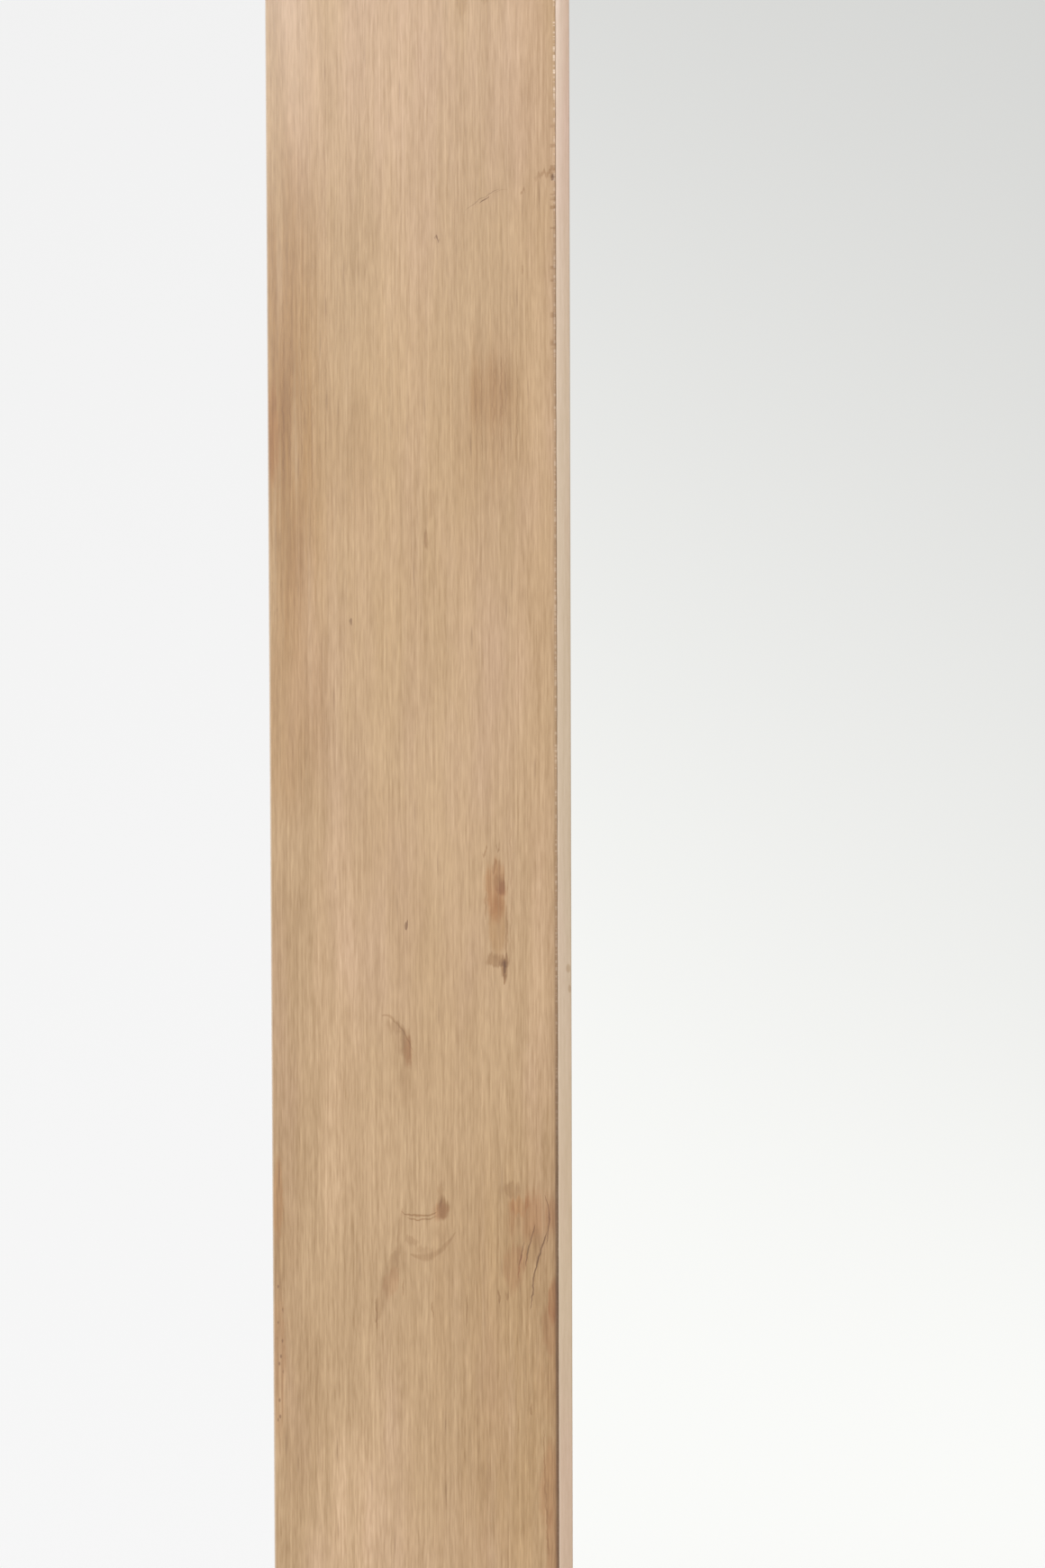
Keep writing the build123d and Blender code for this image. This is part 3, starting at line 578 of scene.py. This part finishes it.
def stile_marks(tree, colour, fields, a, w):
    """Adds the left stile's spots, lines and edge ticks to its colour."""
    wavy_a = ripple(tree, a, 0.35, 1.3, a, w)
    wavy_w = ripple(tree, w, 0.55, 8.9, a, w)
    ragged = tree.math("MULTIPLY_ADD", fields["streak"], 0.5, wavy_a)
    banded = tree.math("MULTIPLY_ADD", fields["band"], 4.0, ragged)
    rough_w = tree.math("MULTIPLY_ADD", fields["line"], 1.6, wavy_w)
    broken = tree.math("MULTIPLY_ADD", fields["line"], -0.9, 1.0)
    streaky = tree.math("MULTIPLY_ADD", fields["band"], 1.5, 1.0)
    streaky = tree.math("MULTIPLY_ADD", fields["line"], -0.8, streaky)
    for centre, size, tilt, strength, tint in STILE_SPOTS:
        if size[0] > BROAD:
            mask = tree.product(blob(tree, banded, rough_w, centre, size, tilt, 0.25), streaky)
        else:
            mask = tree.product(blob(tree, ragged, rough_w, centre, size, tilt), broken)
        mask = tree.math("MINIMUM", tree.math("MAXIMUM", mask, 0.0), 1.0)
        colour = darken(tree, colour, mask, strength, tint)
    for lengthwise, ends, path, width, strength, tint in STILE_LINES:
        main, cross = (w, wavy_a) if lengthwise else (a, wavy_w)
        colour = darken(tree, colour, stroke(tree, main, cross, ends, path, width), strength, tint)
    for low, high in TICKS:
        colour = edge_ticks(tree, colour, a, w, low, high)
    return colour


# strength of the broad figure and contrast of the grain; the marked stile has
# less figure, and its contrast falls over these heights
PLAIN_FIGURE, PLAIN_CONTRAST = 0.22, 1.15
MARKED_FIGURE = 0.05
MARKED_CONTRAST = (1270.0, 1335.0, 1.22, 1.0)


def wood_material(name, along, across, start, turned, seed, marked=False, framed=False):
    """Lacquered wood with its grain along one axis.

    A marked board has the left stile's marks, and a framed one has the joint with the slip, with
    painted glints, and an outer arris with lacquer wear and a painted highlight."""
    tree = Tree(bpy.data.materials.new(name))
    a, depth, w = board_coordinates(tree, along, across, start, turned)
    fields = grain(tree, a, depth, w, seed)
    contrast = tree.ramp(w, *MARKED_CONTRAST) if marked else PLAIN_CONTRAST
    figure = MARKED_FIGURE if marked else PLAIN_FIGURE
    colour = wood_colour(tree, fields, WOOD_GOLD, WOOD_PINK, figure=figure, contrast=contrast)
    colour = darken(tree, colour, pores(tree, a, depth, w, seed), 0.35, DARK)
    if marked:
        colour = stile_marks(tree, colour, fields, a, w)
    if framed:
        colour = joint_line(tree, colour, a, w, seed)
        colour = edge_wear_and_highlight(tree, colour, a, depth)
    finish_wood(tree, colour, fields)
    return tree.owner


# painted sheen: the slip is paler and cooler towards the top and a little warmer low down, as the
# lacquer's sheen would make it; (heights in mm over which the tint comes in, tint)
SLIP_SHEEN_TINTS = [((1385.0, 1465.0), (1.05, 1.0, 1.06)), ((1330.0, 1290.0), (1.0, 0.98, 0.945))]
SLIP_EDGE = (45.12, 45.42)       # mm across over which the brown edge fades out
SLIP_EDGE_TINT = (0.66, 0.54, 0.42)
SLIP_SPOTS = [((46.7, 1321.0), (0.45, 0.9)), ((46.9, 1317.8), (0.3, 0.8))]


def slip_material(name, along, across, start, turned, seed):
    """Paler, smoother wood of the inner slip, with a painted sheen that pales it towards the top.
    """
    tree = Tree(bpy.data.materials.new(name))
    a, depth, w = board_coordinates(tree, along, across, start, turned)
    fields = grain(tree, a, depth, w, seed)
    colour = wood_colour(tree, fields, SLIP_GOLD, SLIP_PINK, 0.35)
    # painted sheen: paler towards the top, warmer low down
    for heights, tint in SLIP_SHEEN_TINTS:
        colour = tree.mix(tree.ramp(w, *heights), colour, tint, "MULTIPLY")
    arris = tree.ramp(a, *SLIP_EDGE, 1.0, 0.0)
    colour = tree.mix(tree.product(arris, 0.3), colour, SLIP_EDGE_TINT)
    for centre, size in SLIP_SPOTS:
        colour = darken(tree, colour, blob(tree, a, w, centre, size), 0.5, BROWN)
    finish_wood(tree, colour, fields, rough=0.38)
    return tree.owner


# ---- other materials ----

SILVER = (0.900, 0.905, 0.886)
BACKING_PAINT = (0.20, 0.21, 0.22)
PAINT_STARTS = (0.6, 0.9)        # mm of depth over which silver gives way to paint


def mirror_material():
    """Silvered pane: bright front, grey backing paint, faint dust in the gloss."""
    tree = Tree(bpy.data.materials.new("silvered_glass"))
    spot = tree.vector("SCALE", tree.object_mm(), 1 / 120)
    haze = tree.ramp(tree.noise(spot, detail=4.0), -0.2, 0.8, 0.0, 0.012)
    y = tree.split(tree.object_mm())[1]
    painted = tree.ramp(y, *PAINT_STARTS)
    roughness = tree.math("MULTIPLY_ADD", painted, 0.5, haze)
    tree.links.new(tree.mix(painted, SILVER, BACKING_PAINT), tree.shader.inputs["Base Color"])
    tree.links.new(roughness, tree.shader.inputs["Roughness"])
    tree.links.new(tree.math("SUBTRACT", 1.0, painted), tree.shader.inputs["Metallic"])
    return tree.owner


def plain_material(name, colour, other, size, rough,
                   metallic=0.0, bump=0.02, stretch=(1, 1, 1)):
    """Two close tones blended by noise, with a matching bump; size and bump are in mm."""
    tree = Tree(bpy.data.materials.new(name))
    coords = tree.vector("MULTIPLY", tree.object_mm(), tuple(s / size for s in stretch))
    field = tree.noise(coords, detail=4.0, roughness=0.6)
    colour_out = tree.mix(tree.ramp(field, -0.5, 0.5), colour, other)
    tree.links.new(colour_out, tree.shader.inputs["Base Color"])
    tree.links.new(tree.math("MULTIPLY_ADD", field, 0.12, rough), tree.shader.inputs["Roughness"])
    tree.settings(Metallic=metallic)
    tree.bump(field, bump * MM, 0.7)
    return tree.owner


def assign(node, material):
    """Gives a CAD node one material."""
    mesh = frame["nodes"][node].data
    mesh.materials.clear()
    mesh.materials.append(material)


# =====================================================================
# Mesh building
# =====================================================================

def arc(centre, radius, start, end, steps):
    """Points of an arc in the section plane, ends included."""
    points = []
    for k in range(steps + 1):
        angle = radians(start + (end - start) * k / steps)
        points.append((centre[0] + radius * cos(angle), centre[1] + radius * sin(angle)))
    return points


FACE_STRIPS = 6                  # strips that the board's face is split into
RING_STEP = 1.5 * MM             # between sections along a board
MITRE_GAP = 0.04 * MM            # each board stops this short of the mitre


def board_ring(wear, joint, crown):
    """Section of a face board, with a worn outer arris and a slightly uneven face."""
    face = [(BOARD * k / FACE_STRIPS, FRONT + crown * (1 if k % 2 else -0.4))
            for k in range(1, FACE_STRIPS)]
    ring = arc((wear, FRONT + wear), wear, 180, 270, 5)
    ring += face
    ring += arc((BOARD - joint, FRONT + joint), joint, 270, 360, 3)
    ring += [(BOARD, LIP_BACK), (GLASS_REBATE, LIP_BACK), (GLASS_REBATE, SHELF_BACK)]
    ring += [(PANEL_REBATE, SHELF_BACK), (PANEL_REBATE, BACK)]
    ring += arc((OUTER_ARRIS, BACK - OUTER_ARRIS), OUTER_ARRIS, 90, 180, 3)
    return ring


def slip_ring(left, right):
    """Section of a slip, with two soft front arrises."""
    ring = arc((BOARD + left, FRONT + left), left, 180, 270, 3)
    ring += arc((SIGHT - right, FRONT + right), right, 270, 360, 3)
    ring += [(SIGHT, LIP_BACK), (BOARD, LIP_BACK)]
    return ring


def wobble(w, scale, seed):
    """Smooth signed noise along a board."""
    return noise.noise(Vector((w / scale, seed, 0.37 * seed)))


def mesh_piece(name, points, faces, sharp):
    """Smooth-shaded object from points and faces; edges over sharp degrees stay hard."""
    mesh = bpy.data.meshes.new(name)
    mesh.from_pydata(points, [], faces)
    work = bmesh.new()
    work.from_mesh(mesh)
    bmesh.ops.recalc_face_normals(work, faces=work.faces)
    work.to_mesh(mesh)
    work.free()
    mesh.shade_smooth()
    mesh.set_sharp_from_angle(angle=radians(sharp))
    piece = bpy.data.objects.new(name, mesh)
    bpy.context.scene.collection.objects.link(piece)
    return piece


def mitred_mesh(name, length, ring_at, place):
    """Skins rings along a board whose ends are cut to mitres, and caps them."""
    count = round(length / RING_STEP)
    mesh_points = []
    for k in range(count + 1):
        share = k / count
        for u, v in ring_at(share * length):
            start = u + MITRE_GAP
            w = start + share * (length - 2 * start)
            mesh_points.append(place(u, v, w))
    size = len(mesh_points) // (count + 1)
    faces = []
    for k in range(count):
        for i in range(size):
            j = (i + 1) % size
            faces.append((k * size + i, k * size + j, (k + 1) * size + j, (k + 1) * size + i))
    faces.append(tuple(reversed(range(size))))
    faces.append(tuple(count * size + i for i in range(size)))
    return mesh_piece(name, mesh_points, faces, 35)


FRAME_H = FRAME_TOP - FRAME_LOW
FRAME_W = FRAME_RIGHT - FRAME_LEFT
LEFT_MM = FRAME_LEFT / MM
TOP_MM = FRAME_TOP / MM
LOW_MM = FRAME_LOW / MM
# side: (board, length, place of a section point, along, across, start of across in mm, turned)
SIDES = {
    "left": ("stile_left", FRAME_H, lambda u, v, w: (FRAME_LEFT + u, v, FRAME_LOW + w),
             "Z", "X", LEFT_MM, False),
    "right": ("stile_right", FRAME_H, lambda u, v, w: (FRAME_RIGHT - u, v, FRAME_LOW + w),
              "Z", "X", -LEFT_MM, True),
    "top": ("rail_top", FRAME_W, lambda u, v, w: (FRAME_LEFT + w, v, FRAME_TOP - u),
            "X", "Z", TOP_MM, True),
    "bottom": ("rail_bottom", FRAME_W, lambda u, v, w: (FRAME_LEFT + w, v, FRAME_LOW + u),
               "X", "Z", LOW_MM, False),
}
BOARD_NAMES = {side: values[0] for side, values in SIDES.items()}


def build_frame_side(side, seed):
    """One board and its slip, in place of their CAD nodes."""
    name, length, place, along, across, start, turned = SIDES[side]

    def board_at(w):
        wear = OUTER_ARRIS * (
            0.72 + 0.34 * wobble(w, 0.06, seed) + 0.12 * wobble(w, 0.006, seed + 5))
        joint = JOINT_ARRIS * (
            1 + 0.5 * wobble(w, 0.004, seed + 9) + 0.35 * wobble(w, 0.0013, seed + 3))
        crown = 0.015 * MM * wobble(w, 0.05, seed + 7)
        return board_ring(wear, joint, crown)

    def slip_at(w):
        left = SLIP_ARRIS * (0.8 + 0.35 * wobble(w, 0.0025, seed + 11))
        right = SLIP_ARRIS * (0.8 + 0.2 * wobble(w, 0.02, seed + 13))
        return slip_ring(left, right)

    board = mitred_mesh(name + "_lacquered", length, board_at, place)
    board.data.materials.append(wood_material(
        "wood_" + name, along, across, start, turned, seed, side == "left", True))
    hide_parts(BOARD_NAMES[side])
    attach(board, "mirror")
    slip = mitred_mesh("slip_" + side + "_lacquered", length, slip_at, place)
    slip.data.materials.append(slip_material(
        "wood_slip_" + side, along, across, start, turned, seed + 2))
    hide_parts("slip_" + side)
    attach(slip, "mirror")


# Grain seeds. The left side's is the one that its marks were fitted over.
for side, seed in zip(SIDES, (1.7, 5.8, 9.9, 14.0)):
    build_frame_side(side, seed)

# ---- turned knobs ----
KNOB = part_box("knob_left")
KNOB_LENGTH = KNOB[1][0] - KNOB[0][0]
KNOB_FACE = KNOB[1][0]           # the knob's inner end, x on the left side
HEAD_R = (KNOB[1][2] - KNOB[0][2]) / 2
HEAD_AT = 20 * MM                # where the head is widest, from the inner end
COLLAR_R = 12 * MM
COLLAR = 3 * MM
NECK_R = 9.8 * MM
COVE = 6 * MM                    # length of the cove between the collar and the head
STUD_R = 4 * MM
STUD_HOLE = 18 * MM
EASE = 0.35 * MM                 # rounding of the collar's edges
RING_CUTS = (18.3 * MM, 21.2 * MM)   # turned lines round the head
CROWN_CUT = 7.5 * MM             # radius of the turned line on the end
CUT_DEPTH = 0.45 * MM
CUT_HALF = 0.40 * MM
SEGMENTS = 72                    # round the knob
CROWN_STEPS = 140                # along the domed end, fine enough for the cut lines

# The cove's arc passes through both its ends and the neck, and the head's arc
# is level where the head is widest and ends at the cove, as in the CAD.
COVE_DEPTH = COLLAR_R - NECK_R
COVE_R = ((COVE / 2) ** 2 + COVE_DEPTH ** 2) / (2 * COVE_DEPTH)
COVE_CENTRE = (COLLAR + COVE / 2, NECK_R + COVE_R)
SWELL = HEAD_AT - COLLAR - COVE
SWELL_R = (SWELL ** 2 + (HEAD_R - COLLAR_R) ** 2) / (2 * (HEAD_R - COLLAR_R))
# degrees; each stops a little short of a sharp edge, which comes out eased
COVE_SPAN = (200, 342.5)
SWELL_SPAN = (90, 153)


def knob_outline():
    """Half section as (distance from the inner end, radius), bore first."""
    points = [(STUD_HOLE, 0.0), (STUD_HOLE, STUD_R), (0.0, STUD_R)]
    points += [(0.0, COLLAR_R - EASE), (EASE, COLLAR_R)]
    points += [(COLLAR - EASE, COLLAR_R), (COLLAR, COLLAR_R - EASE * 0.6)]
    points += arc(COVE_CENTRE, COVE_R, *COVE_SPAN, 24)
    points += reversed(arc((HEAD_AT, HEAD_R - SWELL_R), SWELL_R, *SWELL_SPAN, 90))
    reach = (KNOB_LENGTH - HEAD_AT) * 0.7
    handles = [(HEAD_AT, HEAD_R), (HEAD_AT + reach, HEAD_R),
               (KNOB_LENGTH, HEAD_R * 0.45), (KNOB_LENGTH, 0.0)]
    for k in range(1, CROWN_STEPS + 1):
        t = k / CROWN_STEPS
        weights = ((1 - t) ** 3, 3 * (1 - t) ** 2 * t, 3 * (1 - t) * t * t, t ** 3)
        points.append(tuple(sum(w * h[i] for w, h in zip(weights, handles)) for i in (0, 1)))
    return points


def cut_lines(x, r):
    """Moves a point of the head inwards where a turned line is cut."""
    depth = 0.0
    for place in RING_CUTS:
        depth = max(depth, 1 - abs(x - place) / CUT_HALF)
    r -= CUT_DEPTH * depth if r > COLLAR_R else 0.0
    if x > HEAD_AT:
        x -= CUT_DEPTH * max(0.0, 1 - abs(r - CROWN_CUT) / CUT_HALF)
    return x, r


def knob_piece(side, sign, seed):
    """Lathe-turned knob in place of its CAD node."""
    points, rows = [], []
    for out, r in (cut_lines(x, r) for x, r in knob_outline()):
        x = sign * (abs(KNOB_FACE) + out)
        if r < 1e-6:
            rows.append([len(points)] * SEGMENTS)
            points.append((x, 0.0, PIVOT_Z))
            continue
        rows.append(list(range(len(points), len(points) + SEGMENTS)))
        for k in range(SEGMENTS):
            angle = 2 * pi * k / SEGMENTS
            points.append((x, r * cos(angle), PIVOT_Z + r * sin(angle)))
    faces = []
    for low, high in zip(rows, rows[1:]):
        for k in range(SEGMENTS):
            after = (k + 1) % SEGMENTS
            corners = (low[k], low[after], high[after], high[k])
            faces.append(tuple(dict.fromkeys(corners)))
    piece = mesh_piece("knob_" + side + "_turned", points, faces, 40)
    piece.data.materials.append(knob_material("wood_knob_" + side, seed))
    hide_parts("knob_" + side)
    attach(piece, "clamp_" + side)


PITH = (-26.0, -14.0)            # mm from the knob's axis, in z and y
RING_WIDTH = 2.1                 # mm from one growth ring to the next


def turned_line(tree, value, place):
    """1 on a turned line at a place in metres, fading to 0 at its sides; value is in mm."""
    half = CUT_HALF / MM
    away = tree.math("ABSOLUTE", tree.math("SUBTRACT", value, place / MM))
    return tree.ramp(away, half * 0.4, half, 1.0, 0.0)


def knob_material(name, seed):
    """Lacquered end and side grain with growth rings and burnt turned lines."""
    tree = Tree(bpy.data.materials.new(name))
    across, depth, along = board_coordinates(tree, "X", "Z", PIVOT_Z / MM, False)
    fields = grain(tree, across, depth, along, seed)
    colour = wood_colour(tree, fields, WOOD_GOLD, WOOD_PINK, figure=0.05, contrast=1.2)
    pith = tree.vector("LENGTH", tree.join(
        tree.math("SUBTRACT", across, PITH[0]), tree.math("SUBTRACT", depth, PITH[1]),
        tree.math("MULTIPLY", fields["zone"], 3.0)))
    phase = tree.math("MULTIPLY", fields["hue"], 2.0)
    season = tree.math("SINE", tree.math("MULTIPLY_ADD", pith, 2 * pi / RING_WIDTH, phase))
    colour = darken(tree, colour, tree.ramp(season, 0.1, 1.0), 0.45, TAN)
    colour = darken(tree, colour, pores(tree, across, depth, along, seed), 0.4, DARK)
    radius = tree.vector("LENGTH", tree.join(across, depth, 0.0))
    out = tree.math("SUBTRACT", tree.math("ABSOLUTE", along), abs(KNOB_FACE) / MM)
    head = tree.ramp(radius, COLLAR_R / MM + 2, COLLAR_R / MM + 2.5)
    for place in RING_CUTS:
        line = tree.product(head, turned_line(tree, out, place))
        colour = darken(tree, colour, line, 0.75, DARK)
    end = tree.ramp(out, HEAD_AT / MM, HEAD_AT / MM + 1)
    line = tree.product(end, turned_line(tree, radius, CROWN_CUT))
    colour = darken(tree, colour, line, 0.75, DARK)
    finish_wood(tree, colour, fields)
    return tree.owner


knob_piece("left", -1, 31.7)
knob_piece("right", 1, 32.7)

# ---- stand and fittings keep their CAD shapes ----
POST_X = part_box("post_left")[0][0] / MM
for side, post_seed, foot_seed in (("left", 20.3, 24.9), ("right", 21.3, 25.9)):
    assign("post_" + side,
           wood_material("wood_post_" + side, "Z", "X", POST_X, False, post_seed))
    assign("foot_" + side,
           wood_material("wood_foot_" + side, "Y", "X", POST_X, False, foot_seed))
assign("stretcher", wood_material("wood_stretcher", "X", "Z", 0.0, False, 28.1))
assign("mirror_glass", mirror_material())

# (CAD nodes, material, two tones, mottle in mm, roughness, other settings)
FITTINGS = [
    (["back_panel"], "hardboard",
     (0.19, 0.115, 0.066), (0.25, 0.155, 0.092), 1.6, 0.55, {"bump": 0.05}),
    (["panel_screws", "foot_bolts", "foot_barrel_nuts", "stretcher_bolts",
      "stretcher_barrel_nuts", "knob_stud_left", "knob_stud_right", "stile_washers"],
     "zinc_steel", (0.62, 0.63, 0.64), (0.50, 0.51, 0.53), 2.5, 0.34, {"metallic": 1.0}),
    (["pivot_inserts", "pivot_bushes", "knob_washer_left", "knob_washer_right"],
     "brass", (0.70, 0.50, 0.23), (0.60, 0.41, 0.18), 3.0, 0.30, {"metallic": 1.0}),
    (["friction_washers"], "nylon", (0.80, 0.78, 0.71), (0.74, 0.72, 0.65), 4.0, 0.45, {}),
    (["foam_strips"], "foam",
     (0.025, 0.025, 0.027), (0.045, 0.045, 0.048), 0.9, 0.95, {"bump": 0.3}),
    (["glass_spacers"], "spacer_plastic",
     (0.70, 0.70, 0.67), (0.62, 0.62, 0.60), 3.0, 0.5, {}),
    (["foot_pads"], "pad_rubber",
     (0.030, 0.026, 0.024), (0.045, 0.040, 0.036), 0.8, 0.85, {"bump": 0.1}),
    (["bolt_caps"], "cap_plastic", (0.40, 0.25, 0.12), (0.34, 0.21, 0.10), 2.0, 0.40, {}),
    (["corner_splines", "stretcher_dowels"], "hidden_wood",
     (0.58, 0.42, 0.26), (0.50, 0.35, 0.20), 1.0, 0.7, {"stretch": (1, 1, 0.1)}),
]
for nodes, name, colour, other, size, rough, settings in FITTINGS:
    material = plain_material(name, colour, other, size, rough, **settings)
    for node in nodes:
        assign(node, material)


# =====================================================================
# Stage, light and camera
# =====================================================================

FLOOR_R = 6.0
FLOOR_TONES = ((0.50, 0.50, 0.49), (0.53, 0.53, 0.52))
FLOOR_FADE = (1300.0, 5500.0)    # mm from the middle over which the floor fades out


def pale_floor():
    """Round pale floor that fades into the background."""
    mesh = bpy.data.meshes.new("floor")
    work = bmesh.new()
    bmesh.ops.create_circle(work, cap_ends=True, segments=96, radius=FLOOR_R)
    work.to_mesh(mesh)
    work.free()
    floor = bpy.data.objects.new("floor", mesh)
    bpy.context.scene.collection.objects.link(floor)
    tree = Tree(bpy.data.materials.new("floor_paper"))
    tree.settings(Roughness=0.8)
    coords = tree.object_mm()
    mottle = tree.noise(tree.vector("SCALE", coords, 1 / 900), detail=2.0)
    colour = tree.mix(tree.ramp(mottle, -0.6, 0.6), *FLOOR_TONES)
    tree.links.new(colour, tree.shader.inputs["Base Color"])
    tree.settings(Emission_Color=(1.0, 1.0, 0.99, 1.0), Emission_Strength=0.40)
    away = tree.ramp(tree.vector("LENGTH", coords), *FLOOR_FADE)
    clear = tree.nodes.new("ShaderNodeBsdfTransparent")
    blend = tree.nodes.new("ShaderNodeMixShader")
    tree.links.new(away, blend.inputs[0])
    tree.links.new(tree.shader.outputs[0], blend.inputs[1])
    tree.links.new(clear.outputs[0], blend.inputs[2])
    tree.links.new(blend.outputs[0], tree.nodes["Material Output"].inputs["Surface"])
    mesh.materials.append(tree.owner)


OVERHEAD = 0.50                  # grey level of the surround overhead


def blend_levels(tree, low, high, share):
    """low where share is 0, high where it is 1."""
    return tree.math("MULTIPLY_ADD", share, tree.math("SUBTRACT", high, low), low)


def studio_world():
    """Soft pale surround, a little darker upwards where the pane faces it.

    x, y and z are the parts of the direction looked in; the front has y < 0."""
    tree = Tree(bpy.data.worlds.new("studio"))
    bpy.context.scene.world = tree.owner
    direction = tree.nodes.new("ShaderNodeTexCoord").outputs["Generated"]
    x, y, z = tree.split(direction)
    # in front: a gradient downwards, and a weaker one sideways that is
    # strongest just below the horizon
    front = tree.ramp(z, -0.214, 0.286, 1.065, 0.70)
    sideways = tree.ramp(x, -0.2, 0.2, 0.14, -0.12, smooth=False)
    share = tree.product(tree.ramp(z, -0.22, -0.08), tree.ramp(z, 0.0, 0.15, 1.0, 0.65))
    front = tree.math("MULTIPLY_ADD", share, sideways, front)
    # behind the mirror, then everything overhead
    back = tree.ramp(z, -0.3, 0.4, 0.93, 0.86)
    level = blend_levels(tree, front, back, tree.ramp(y, -0.5, 0.2))
    level = blend_levels(tree, level, OVERHEAD, tree.ramp(z, 0.22, 0.75))
    background = tree.nodes["Background"]
    tree.links.new(tree.join(level, level, level), background.inputs["Color"])
    background.inputs["Strength"].default_value = 1.0


def softbox(name, place, target, size, power):
    """Rectangular area light that faces a target; metres and watts."""
    light = bpy.data.lights.new(name, "AREA")
    light.shape = "RECTANGLE"
    light.size, light.size_y = size
    light.energy = power
    lamp = bpy.data.objects.new(name, light)
    lamp.location = place
    lamp.rotation_euler = (Vector(target) - Vector(place)).to_track_quat("-Z", "Y").to_euler()
    bpy.context.scene.collection.objects.link(lamp)


LENS = 100.0                     # mm
SENSOR = 36.0                    # mm, along the picture's height
VIEW_HEIGHT = 0.245589           # metres of the stile's face that the picture spans
PITCH = radians(3.1)
ROLL = radians(-0.17)
AIM = Vector((FRAME_LEFT + 39.6 * MM, FRONT, 1.350))


def close_camera():
    """Portrait close-up of the left stile, square on and tipped slightly down."""
    distance = LENS / SENSOR * VIEW_HEIGHT
    data = bpy.data.cameras.new("camera")
    data.lens = LENS
    data.sensor_width = SENSOR
    data.clip_start = 0.01
    camera = bpy.data.objects.new("camera", data)
    forward = Vector((0, cos(PITCH), -sin(PITCH)))
    camera.location = AIM - distance * forward
    camera.rotation_euler = (Euler((pi / 2 - PITCH, 0, 0)).to_matrix()
                             @ Euler((0, 0, ROLL)).to_matrix()).to_euler()
    bpy.context.scene.collection.objects.link(camera)
    bpy.context.scene.camera = camera


pale_floor()
studio_world()
softbox("key", (1.9, -2.4, 2.9), (0, 0, 1.0), (1.6, 1.6), 14)
softbox("sheen", (-0.86, -2.3, 2.20), (-0.25, 0, 1.45), (1.0, 0.75), 30)
softbox("left_rim", (-2.4, 0.5, 1.6), (-0.25, 0, 1.2), (1.0, 1.8), 14)
close_camera()
bpy.context.scene.view_settings.view_transform = "Standard"
